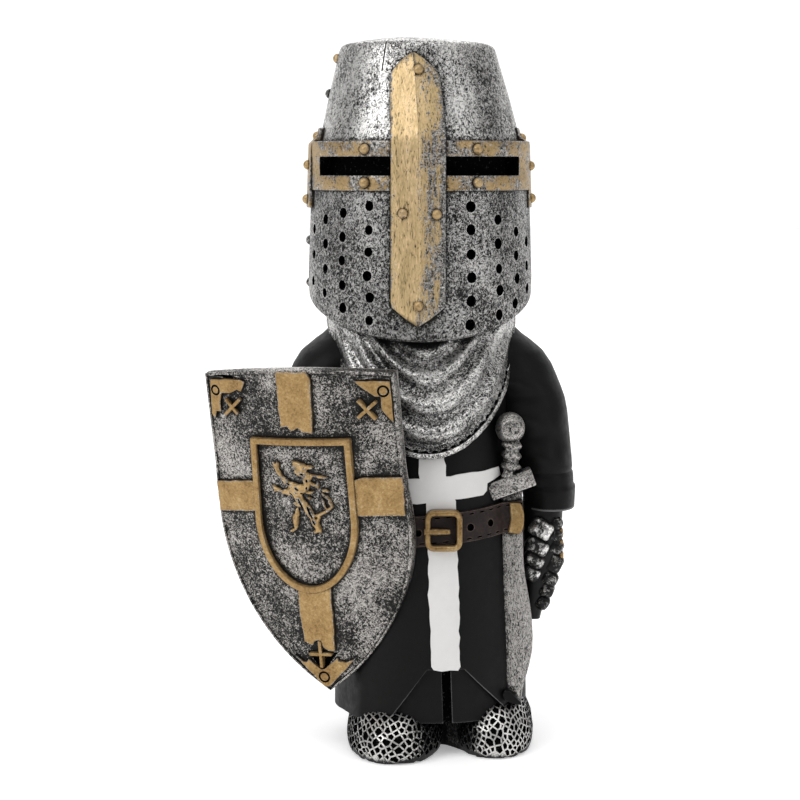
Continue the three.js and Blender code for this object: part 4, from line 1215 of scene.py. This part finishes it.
def scabbard_form(across, deep, up):
    z = between(SCABBARD["foot"], SCABBARD["top"], up) - np.where(up < 0.1, across * SCABBARD["cut"], 0)
    lean = SCABBARD["lean"] * (1 - up)
    over = np.interp(across, [0, 0.5, 1], [0, SCABBARD["ridge"], 1])
    rise = np.interp(across, [0, 0.5, 1], [0.1, 0.35, -0.9]) * (1 - deep)
    belly = SCABBARD["belly"] * np.sin(np.pi * np.clip((z - SCABBARD["foot"] + 2) / 30, 0, 1)) ** 1.5
    below = np.clip((SCABBARD["taper_top"] - z) / (SCABBARD["taper_top"] - SCABBARD["foot"]), 0, 1)
    belly -= SCABBARD["taper"] * below
    x = SCABBARD["x"] + lean + (over * 2 - 1) * SCABBARD["half"] + belly * over
    y = SWORD["y"] + (deep * 2 - 1) * SCABBARD["depth"] - 1.5 * (1 - up) + deep * 6 - rise + 0.35 * (1 - deep)
    return np.column_stack([x, y, z])


scabbard = bent_block("scabbard", scabbard_silver, (2, 1, 14), scabbard_form)
softened(scabbard, 0.3, 2, 0.5)
combine(coat, scabbard)

hem_flap = stood_up(cut_plate("hem_flap", coat_black, rounded(HEM_FLAP, 1), 12, 18.8))
combine(coat, softened(hem_flap, 0.12))


# Gauntlets
# The right hand hangs behind the scabbard in a mitten of overlapping finger plates over black leather.
# The left hand grips the shield's back, where it is only a plain rounded fist.

HAND = np.array([
    # z, middle x, half width, half depth
    (26.2, 20.5, 1.7, 3.8),
    (31, 20.9, 2.8, 4.9),
    (36, 21.9, 3.7, 5.8),
    (44, 22.5, 4.4, 6.4),
    (52, 22.6, 4.5, 6.4),
])
HAND_Y = -2.5
GLOVE_INSET = {"side": 0.2, "front": 0.35}
FINGER_PLATES = (
    # x, y, z, width, depth, height, tilt
    (21.9, -8.9, 46.4, 5.0, 3.4, 4.2, 34),
    (21.0, -8.9, 42.7, 5.1, 3.4, 3.6, 30),
    (20.4, -8.7, 39.8, 4.6, 3.2, 3.2, 30),
    (19.8, -8.2, 36.9, 4.2, 3.0, 3.5, 34),
)
EDGE_PLATES = (
    (25.0, -6.6, 47.4, 3.2, 4.2, 3.2, 20),
    (24.9, -6.4, 45.0, 3.6, 4.4, 3.3, 22),
    (25.0, -6.2, 42.3, 3.7, 4.4, 3.5, 20),
    (24.8, -6.0, 38.6, 3.7, 4.4, 4.6, 28),
    (23.9, -6.2, 35.4, 3.8, 4.2, 3.3, 26),
    (23.3, -6.0, 32.8, 3.3, 4.0, 3.5, 30),
    (22.5, -5.8, 30.0, 3.0, 3.6, 3.5, 32),
)
CUFF_TRIM = (
    (26.2, -7.2, 45.4, 0.9, 2, 2.0, 0),
    (26.3, -7.0, 43.0, 0.9, 2, 1.9, 0),
    (26.4, -6.8, 40.5, 0.9, 2, 1.6, 0),
)
GRIP_HAND = {"place": (-28, -12, 47), "size": (11, 17, 12)}

plate_silver = dry_brushed(
    "plate_silver", 0.42, contrast=1, fine_scale=900, patch_scale=420, patch=2, wash_and_shade=1.5, edge=0.9,
    bright=0.8, rough=(0.4, 0.24),
)
plate_dark = dry_brushed(
    "plate_dark", 0.24, contrast=1.3, fine_scale=900, patch_scale=360, patch=1.5, wash_and_shade=0.9, edge=1.6,
    bright=0.6, rough=(0.35, 0.3),
)


def glove_form(turn, share):
    z = between(HAND[0][0], HAND[-1][0], share)
    x, half, depth = at_height(HAND, z)
    depth = depth - GLOVE_INSET["front"]
    across, deep = oval(turn, half - GLOVE_INSET["side"], depth, depth, 3)
    return np.column_stack([x + across, HAND_Y + deep, z])


def pillow(name, paint, row, corner):
    """A block with well-rounded edges, turned about the front-to-back line."""
    piece = block(name, paint, row[:3], row[3:6], (0, math.radians(row[6]), 0))
    with at_work_on(piece):
        bpy.ops.mesh.bevel(offset=corner, segments=5)
    return piece


combine(coat, rolled("glove", black_ground, 40, 20, glove_form))
for paint, rows in ((plate_dark, EDGE_PLATES), (plate_silver, FINGER_PLATES)):
    for row in rows:
        finger = pillow("finger_plate", paint, row, 1.25)
        lumpy(finger, 1.6, 0.35)
        combine(coat, finger)
for row in CUFF_TRIM:
    combine(coat, pillow("cuff_trim", trim_gold, row, 0.35))

combine(coat, ball("fist", plate_silver, GRIP_HAND["place"], GRIP_HAND["size"], segments=32, rings=18))


# Shield
# A bowed heater shield with a thin raised rim, a gold cross, and a small gold-framed shield with a lion.
# Gold brackets with a ring and a saltire fill the top corners, and a small cross stands over a chevron
# at the point.

SHIELD = {
    "place": (-30.1, -28.3, 81.3), "yaw": 20.6, "pitch": 12, "roll": 0.9,
    "width": 42, "length": 69.8, "straight": 30.7, "bow": 74, "thick": 2.2, "swell": 0.7, "skew": 1.2,
}
SHIELD_GRID = (56, 96)
RIM = {"width": 0.7, "proud": 0.25}
SHIELD_CROSS = {"middle": 26.5, "proud": 0.7}
CROSS_ARMS = [
    (-20.9, -24.4), (-20.9, -31), (-11.9, -29.9), (11.4, -30), (20.9, -30.3), (20.9, -22), (13.6, -21.7),
    (11.7, -22.1), (-12.2, -23.3),
]
CROSS_HEAD = [
    (-3.4, 0.8), (-3.5, -11.1), (-2.1, -10.7), (-1.2, -11.8), (0.3, -11), (1.2, -11.9), (3.5, -12.1),
    (4.1, -0.6), (3.4, 0.9),
]
CROSS_FOOT = [
    (-3.6, -44), (-3.8, -51.8), (-3.4, -58.6), (-2.4, -59.1), (-1.6, -59.4), (-1, -58.4), (-0.2, -58.1),
    (0.9, -59.8), (1.9, -60.4), (3.3, -60.5), (3.6, -55.2), (3.9, -44),
]
ESCUTCHEON = {
    "top": 13.4, "width": 22.9, "length": 33.9, "straight": 18, "bar": 1.35, "proud": 1.2,
    "x": 0.25, "lean": -1, "flare": 0.35, "slope": 0.2,
}
BRACKETS = (
    [
        (13.1, -1.2), (20.2, -1.6), (20.2, -10.3), (19.6, -9.5), (18.1, -7.4), (18.2, -4.6), (17.1, -4.6),
        (15.5, -3.4),
    ],
    [
        (-19.5, -1.9), (-12.1, -1.4), (-10.9, -1.8), (-12, -3.9), (-13, -3.6), (-14.9, -4.5), (-17, -4.6),
        (-17.5, -6.4), (-17.6, -8.7), (-18.8, -8.7), (-19.4, -10.4), (-20.1, -9.4),
    ],
)
SALTIRES = (
    # middle across and up, length, turn
    (15.3, -7.2, 5.4, -52), (15.3, -7.2, 5.2, 40), (-14.6, -7.2, 4.1, -49), (-14.4, -7.3, 5.6, 42),
)
LINE = 0.75
RINGS = ((18.8, -3.5, 1.05), (-18.4, -4.1, 0.95), (0.3, -66.6, 1.1))
RING_WIRE = 0.22
FOOT_CROSS = ((0.1, -61.3, 6.1, 90), (0.1, -61.3, 5.2, 3))
CHEVRON = [
    (-6.2, -62.1), (-4.2, -63.5), (-3.4, -63.4), (-2.9, -62.7), (-2.1, -63.5), (-0.3, -64.9), (0.5, -64.8),
    (3.6, -62.1), (4, -62.7), (5.4, -63), (6, -62.8), (8, -61.7), (1.3, -68.7), (0.2, -68.8),
]
HOLLOWS = (
    [(-3.4, -61), (-0.4, -65), (0.5, -65), (3.8, -61)],
    [(-19.2, -1), (-15.5, -0.6), (-12.2, -1.1), (-15.5, -1.4)],
)
LION = (
    # stroke ends, across and up from the middle of the shield's cross, and width
    (-6.5, 7.4, -4.6, 4, 1.1), (-5.7, 7.7, -5.4, 6.6, 0.6), (-4.6, 4.2, -3.3, 3, 1.4),
    (-3.6, 3.2, -0.9, 2.6, 1.4), (-7.3, 2.3, -4.9, 1.3, 1), (-4.9, 1.3, -2.2, 1.2, 1.6),
    (-6.9, 1.4, -5.7, 1.6, 0.6), (-1.9, 7.9, 0.9, 6.9, 1.2), (-1.8, 7, -0.6, 5, 1.2),
    (-1, 6.8, 2, 6.9, 1.2), (-0.5, 6, 1, 4.8, 2.1), (-1.9, 5.7, -0.6, 5.5, 0.8),
    (1.8, 5.1, 5.2, 4.7, 0.7), (0.4, 4.2, 0.7, 2.6, 1.6), (1.4, 3.5, 2.9, 2.7, 0.7),
    (-3.8, 1.6, -0.3, 2.6, 2), (-2.5, 0.6, 0.1, 2.1, 1.6), (-2.2, 1.2, -0.8, -1.1, 2.3),
    (-0.7, -0.6, 1.1, -4, 2), (0.9, -3.8, 2.4, -6.9, 1.6), (-2.4, -1.2, 0, -1.4, 1.3),
    (-2, -2.3, -3, -6.6, 1.2), (-3, -4, -2.7, -6.4, 1), (-4.3, -7.4, -2.9, -6.9, 0.6),
    (2.3, -6.9, 1, -7.4, 0.8), (0.6, 1.3, 2, 1.6, 0.7), (0.2, 0.2, 1.8, 0, 0.6),
    (1.9, -3.7, 4.2, -2.8, 0.8), (4.2, -2.8, 5.7, -1.5, 0.8), (5.7, -1.5, 5.1, 0.1, 0.8),
    (5.1, 0.1, 3.9, 1.2, 0.8), (3.9, 2.1, 5.3, 1.6, 0.8), (3.6, 0.3, 4.2, -2, 0.6),
    (3, 3.8, 3.1, 2.3, 0.6), (2.7, -3.7, 2.1, -5, 0.8),
)
LION_PITS = (
    (-1.4, 0.2, -0.1, -3.2, 0.45), (0.4, -1.6, 1.3, -4.2, 0.4), (-3.1, 1.3, -2.4, 0.3, 0.4),
    (0.5, 2.2, 0.7, 2.6, 0.5), (-0.4, 0.9, -0.6, 1.3, 0.5), (0.9, 3.9, 0.8, 4.2, 0.45),
    (-1.3, 2.1, -1.7, 2.4, 0.5), (-0.2, 3.3, -0.1, 3.9, 0.45), (-0.2, 5.6, 0.2, 5.5, 0.45),
    (-1.2, 4.6, -1.1, 5, 0.4), (-3.6, 3.4, -3.2, 3, 0.35), (1.4, -4.6, 1.7, -5.4, 0.4),
)

shield_silver = dry_brushed(
    "shield_silver", 0.36, contrast=2.5, patch_scale=95, patch=1.6, wash_and_shade=1.4, edge=0.7, bright=0.47,
    tint=(1, 0.95, 0.9),
)
lion_gold = worn_gold("lion_gold", cover=-0.3, pale=0.4, bright=1.15, soil_and_shade=0.9, wear=0.6)

across_axis = Matrix.Rotation(math.radians(SHIELD["roll"]), 4, "Z")
stand = Matrix.Rotation(math.pi / 2 + math.radians(SHIELD["pitch"]), 4, "X")
swing = Matrix.Rotation(-math.radians(SHIELD["yaw"]), 4, "Z")
SHIELD_PLACE = Matrix.Translation(SHIELD["place"]) @ swing @ stand @ across_axis


def half_width(down):
    """Half the width of the heater outline, some way down from its top edge."""
    half, drop = SHIELD["width"] / 2, SHIELD["length"] - SHIELD["straight"]
    radius = (half ** 2 + drop ** 2) / SHIELD["width"]
    below = np.maximum(down - SHIELD["straight"], 0)
    heater = np.where(
        down < SHIELD["straight"], half, half - radius + np.sqrt(np.maximum(radius ** 2 - below ** 2, 0)),
    )
    swell = np.clip((down - 20) / (SHIELD["length"] - 20), 0, 1)
    return heater + SHIELD["swell"] * np.sin(np.pi * swell)


def bowed(piece):
    """Bends a flat piece back over the shield's bow."""
    flat = points_of(piece)
    flat[:, 2] += np.sqrt(SHIELD["bow"] ** 2 - flat[:, 0] ** 2) - SHIELD["bow"]
    set_points(piece, flat)
    return piece


def shield_form(across, down_share):
    """The face of the shield with its raised rim, from shares of width and length."""
    steps = np.array([0, 0.2, RIM["width"] - 0.15, RIM["width"] + 0.05])
    lift = np.array([0, RIM["proud"], RIM["proud"], 0])
    columns, rows = SHIELD_GRID
    column = np.rint(across * columns).astype(int)
    edge_column = np.minimum(column, columns - column)
    row = np.rint(down_share * rows).astype(int)
    near_top = row < 4
    below_rim = between(steps[3], SHIELD["length"], (row - 3) / (rows - 3))
    down = np.where(near_top, steps[np.minimum(row, 3)], below_rim)
    half = half_width(down)
    drop = SHIELD["length"] - SHIELD["straight"]
    radius = ((SHIELD["width"] / 2) ** 2 + drop ** 2) / SHIELD["width"]
    slant = np.maximum((half - SHIELD["width"] / 2 + radius) / radius, 0.4)
    lean = np.where(down > SHIELD["straight"], slant, 1)
    nominal = steps[np.minimum(edge_column, 3)] / lean
    room = half * np.array([0, 0.12, 0.4, 0.5])[np.minimum(edge_column, 3)]
    inset = np.minimum(nominal, room)
    inner = np.minimum(steps[3] / lean, half * 0.5)
    middle_share = (edge_column - 3) / (columns / 2 - 3)
    inset = np.where(edge_column > 3, inner + (half - inner) * middle_share, inset)
    x = np.where(column < columns / 2, -1, 1) * (half - inset)
    top_lift = np.where(near_top, lift[np.minimum(row, 3)], 0)
    side_lift = np.where(edge_column < 4, lift[np.minimum(edge_column, 3)], 0)
    out = np.where((row == 0) | (edge_column == 0), 0, np.maximum(top_lift, side_lift))
    reach = x / (SHIELD["width"] / 2)
    arch = (1.6 * (1 - reach ** 2) - 0.5 * (1 - reach)) * np.clip(1 - down / 10, 0, 1)
    x = x + SHIELD["skew"] * np.clip((down - 25) / 45, 0, 1)
    return np.column_stack([x, arch - down, out])


bpy.ops.mesh.primitive_grid_add(x_subdivisions=SHIELD_GRID[0], y_subdivisions=SHIELD_GRID[1], size=1)
shield = take("shield", shield_silver)
flat = points_of(shield)
set_points(shield, shield_form(flat[:, 0] + 0.5, 0.5 - flat[:, 1]))
with at_work_on(shield):
    bpy.ops.mesh.remove_doubles(threshold=0.002)
    bpy.ops.mesh.extrude_region_move(TRANSFORM_OT_translate={"value": (0, 0, -SHIELD["thick"])})
    bpy.ops.mesh.select_all(action="SELECT")
    bpy.ops.mesh.normals_make_consistent(inside=False)

for corners in HOLLOWS:
    combine(shield, cut_plate("hollow", hollow_black, corners, -0.6, 3), "DIFFERENCE")
gold_parts = []
for corners, seed in zip((CROSS_ARMS, CROSS_HEAD, CROSS_FOOT), (11, 12, 13)):
    bar = cut_plate("gold_bar", trim_gold, wavering(corners, 1.1, 0.07, seed), -1, SHIELD_CROSS["proud"])
    gold_parts.append(sliced(bar, 0, -20.5, 21, 1.5))
shield_cross = gathered("shield_cross", gold_parts)


def escutcheon(grow):
    """Corners of the small shield's outline: straight sides, then a round foot, leaning a little."""
    half, length = ESCUTCHEON["width"] / 2 + grow, ESCUTCHEON["length"] + grow
    straight = ESCUTCHEON["straight"]
    turns = np.linspace(0, math.pi / 2, 15)
    downs = np.concatenate([
        [-grow, straight / 3, straight * 2 / 3], straight + (length - straight) * np.sin(turns),
    ])
    halves = np.concatenate([[half] * 3, half * np.cos(turns)])
    halves -= ESCUTCHEON["flare"] * np.clip(1 - downs / straight, 0, 1)
    sides = []
    for side in (-1, 1):
        x = side * halves + ESCUTCHEON["x"] + ESCUTCHEON["lean"] * downs / ESCUTCHEON["length"]
        y = side * ESCUTCHEON["slope"] * np.clip(1 - downs / length, 0, 1) - ESCUTCHEON["top"] - downs
        sides.append(list(zip(x.tolist(), y.tolist())))
    return sides[0] + sides[1][-2::-1]


combine(shield_cross, cut_plate("field_cutter", shield_silver, escutcheon(-0.5), -5, 5), "DIFFERENCE")
outline = escutcheon(0)
bpy.ops.mesh.primitive_circle_add(vertices=len(outline), radius=1, fill_type="NGON")
frame_bar = take("escutcheon_frame", trim_gold)
set_points(frame_bar, [(across, up, -1) for across, up in outline])
with at_work_on(frame_bar):
    bpy.ops.mesh.select_mode(type="FACE")
    bpy.ops.mesh.inset(thickness=ESCUTCHEON["bar"])
    bpy.ops.mesh.delete(type="FACE")
    bpy.ops.mesh.select_all(action="SELECT")
    bpy.ops.mesh.extrude_region_move(TRANSFORM_OT_translate={"value": (0, 0, 1 + ESCUTCHEON["proud"])})
    bpy.ops.mesh.select_all(action="SELECT")
    bpy.ops.mesh.normals_make_consistent(inside=False)
softened(frame_bar, 0.25, 2, 0.9)
sliced(frame_bar, 0, -9, 9.5, 1.5)

marks = [
    softened(cut_plate("bracket", trim_gold, wavering(outline, 1.2, 0.06, 30), -1, 0.6), 0.1, 1, 0.9)
    for outline in BRACKETS
]
marks.append(cut_plate("chevron", trim_gold, wavering(CHEVRON, 1.2, 0.06, 31), -1, 0.6))
for x, y, length, turn in SALTIRES + FOOT_CROSS:
    limb = block("line", trim_gold, (x, y, 0.2), (length, LINE, 1.7), (0, 0, math.radians(turn)))
    marks.append(softened(limb, 0.2))
for mark in marks:
    combine(shield_cross, sliced(mark, 0, -19.5, 20, 1.5))
combine(shield_cross, frame_bar)


def lion_strokes(name, paint, rows, lift, thin):
    """Long drops laid from point to point on the small shield."""
    strokes = []
    for x0, y0, x1, y1, width in rows:
        length = math.hypot(x1 - x0, y1 - y0) + width
        middle = ((x0 + x1) / 2 + 0.25, (y0 + y1) / 2 - SHIELD_CROSS["middle"], lift)
        size = (length, width * thin, min(2, 1 + 0.5 * width))
        turn = (0, 0, math.atan2(y1 - y0, x1 - x0))
        strokes.append(ball(name, paint, middle, size, turn, 12, 8))
    return gathered(name, strokes)


lion = lion_strokes("lion", lion_gold, LION, 0.1, 0.88)
applied(lion, "REMESH", mode="VOXEL", voxel_size=0.2)
lumpy(lion, 0.7, 0.4)
combine(lion, lion_strokes("lion_pits", hollow_black, LION_PITS, 1, 1), "DIFFERENCE")
combine(shield_cross, lion)

bowed(shield)
bowed(shield_cross)
combine(shield, shield_cross)

for x, y, radius in RINGS:
    z = math.sqrt(SHIELD["bow"] ** 2 - x ** 2) - SHIELD["bow"] + 0.6
    bpy.ops.mesh.primitive_torus_add(
        location=(x, y, z), rotation=(0, math.asin(x / SHIELD["bow"]), 0),
        major_radius=radius, minor_radius=RING_WIRE, major_segments=28, minor_segments=8,
    )
    ring = take("ring_groove", hollow_black)
    bpy.ops.object.transform_apply()
    combine(shield, ring, "DIFFERENCE")

shield.data.transform(SHIELD_PLACE)
combine(coat, shield)


# The figure as one casting
# All forms are united, the figure stands on the flat soles of its boots, and it is scaled from millimetres to
# the frame.

for shoe in boots:
    combine(sole_web, shoe)
combine(coat, sole_web)
figure = coat
figure.name = "knight_figure"
figure.data.name = "knight_figure"
figure.data.transform(Matrix.Scale(MILLIMETRE, 4))
only(figure)
bpy.ops.object.shade_smooth_by_angle(angle=math.radians(36))
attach(figure, "root")
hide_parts("knight_statue")


# Floor, light and camera
# A white studio: a pale floor, a brighter white behind it, and a large soft light at the camera's left.

CAMERA = {"place": (-0.0082, -0.446, 0.1236), "tilt": 83.54, "lens": 93.465, "sensor": 36}
MIDDLE = (0, 0, 0.09)
LAMPS = (
    # name, place, aim, size, power
    ("key_light", (-0.6, -0.47, 0.52), MIDDLE, 0.45, 3.0),
    ("top_light", (0.05, -0.25, 0.9), MIDDLE, 0.6, 1.6),
    ("side_light", (0.64, -0.5, 0.3), MIDDLE, 0.45, 1.1),
    ("back_light", (0, 1.6, 1.3), (0, 1.9, 0), 1.4, 14),
)

floor_white, shader = new_paint("floor_white")
shader.inputs["Base Color"].default_value = (0.95, 0.95, 0.95, 1)
shader.inputs["Roughness"].default_value = 0.9
shader.inputs["Specular IOR Level"].default_value = 0.1
shader.inputs["Emission Color"].default_value = (1, 1, 1, 1)
shader.inputs["Emission Strength"].default_value = 0.3
bpy.ops.mesh.primitive_plane_add(size=4, location=(0, 1.7, 0))
floor = take("floor", floor_white)

room = bpy.data.worlds.new("white_room")
bpy.context.scene.world = room
room.use_nodes = True
way = mixed(room, "TexCoord", {}).outputs["Generated"]
axes = mixed(room, "SeparateXYZ", {"Vector": way})
behind = spread(room, axes.outputs["Y"], 0.2, 0.8, 0.12, 1.15)
overhead = spread(room, axes.outputs["Z"], 0.2, 1, 0, 0.7)
strength = sum_of(room, "MAXIMUM", behind, sum_of(room, "ADD", overhead, 0.12))
backdrop = room.node_tree.nodes["Background"]
backdrop.inputs["Color"].default_value = (1, 1, 1, 1)
room.node_tree.links.new(strength, backdrop.inputs["Strength"])

for name, place, aim, size, power in LAMPS:
    bpy.ops.object.light_add(type="AREA", location=place)
    lamp = bpy.context.active_object
    lamp.name = name
    lamp.data.size = size
    lamp.data.energy = power
    lamp.rotation_euler = (Vector(aim) - Vector(place)).to_track_quat("-Z", "Y").to_euler()

bpy.ops.object.camera_add(location=CAMERA["place"], rotation=(math.radians(CAMERA["tilt"]), 0, 0))
camera = bpy.context.active_object
camera.data.lens = CAMERA["lens"]
camera.data.sensor_width = CAMERA["sensor"]
camera.data.clip_start = 0.01
bpy.context.scene.camera = camera
bpy.context.scene.view_settings.view_transform = "Standard"
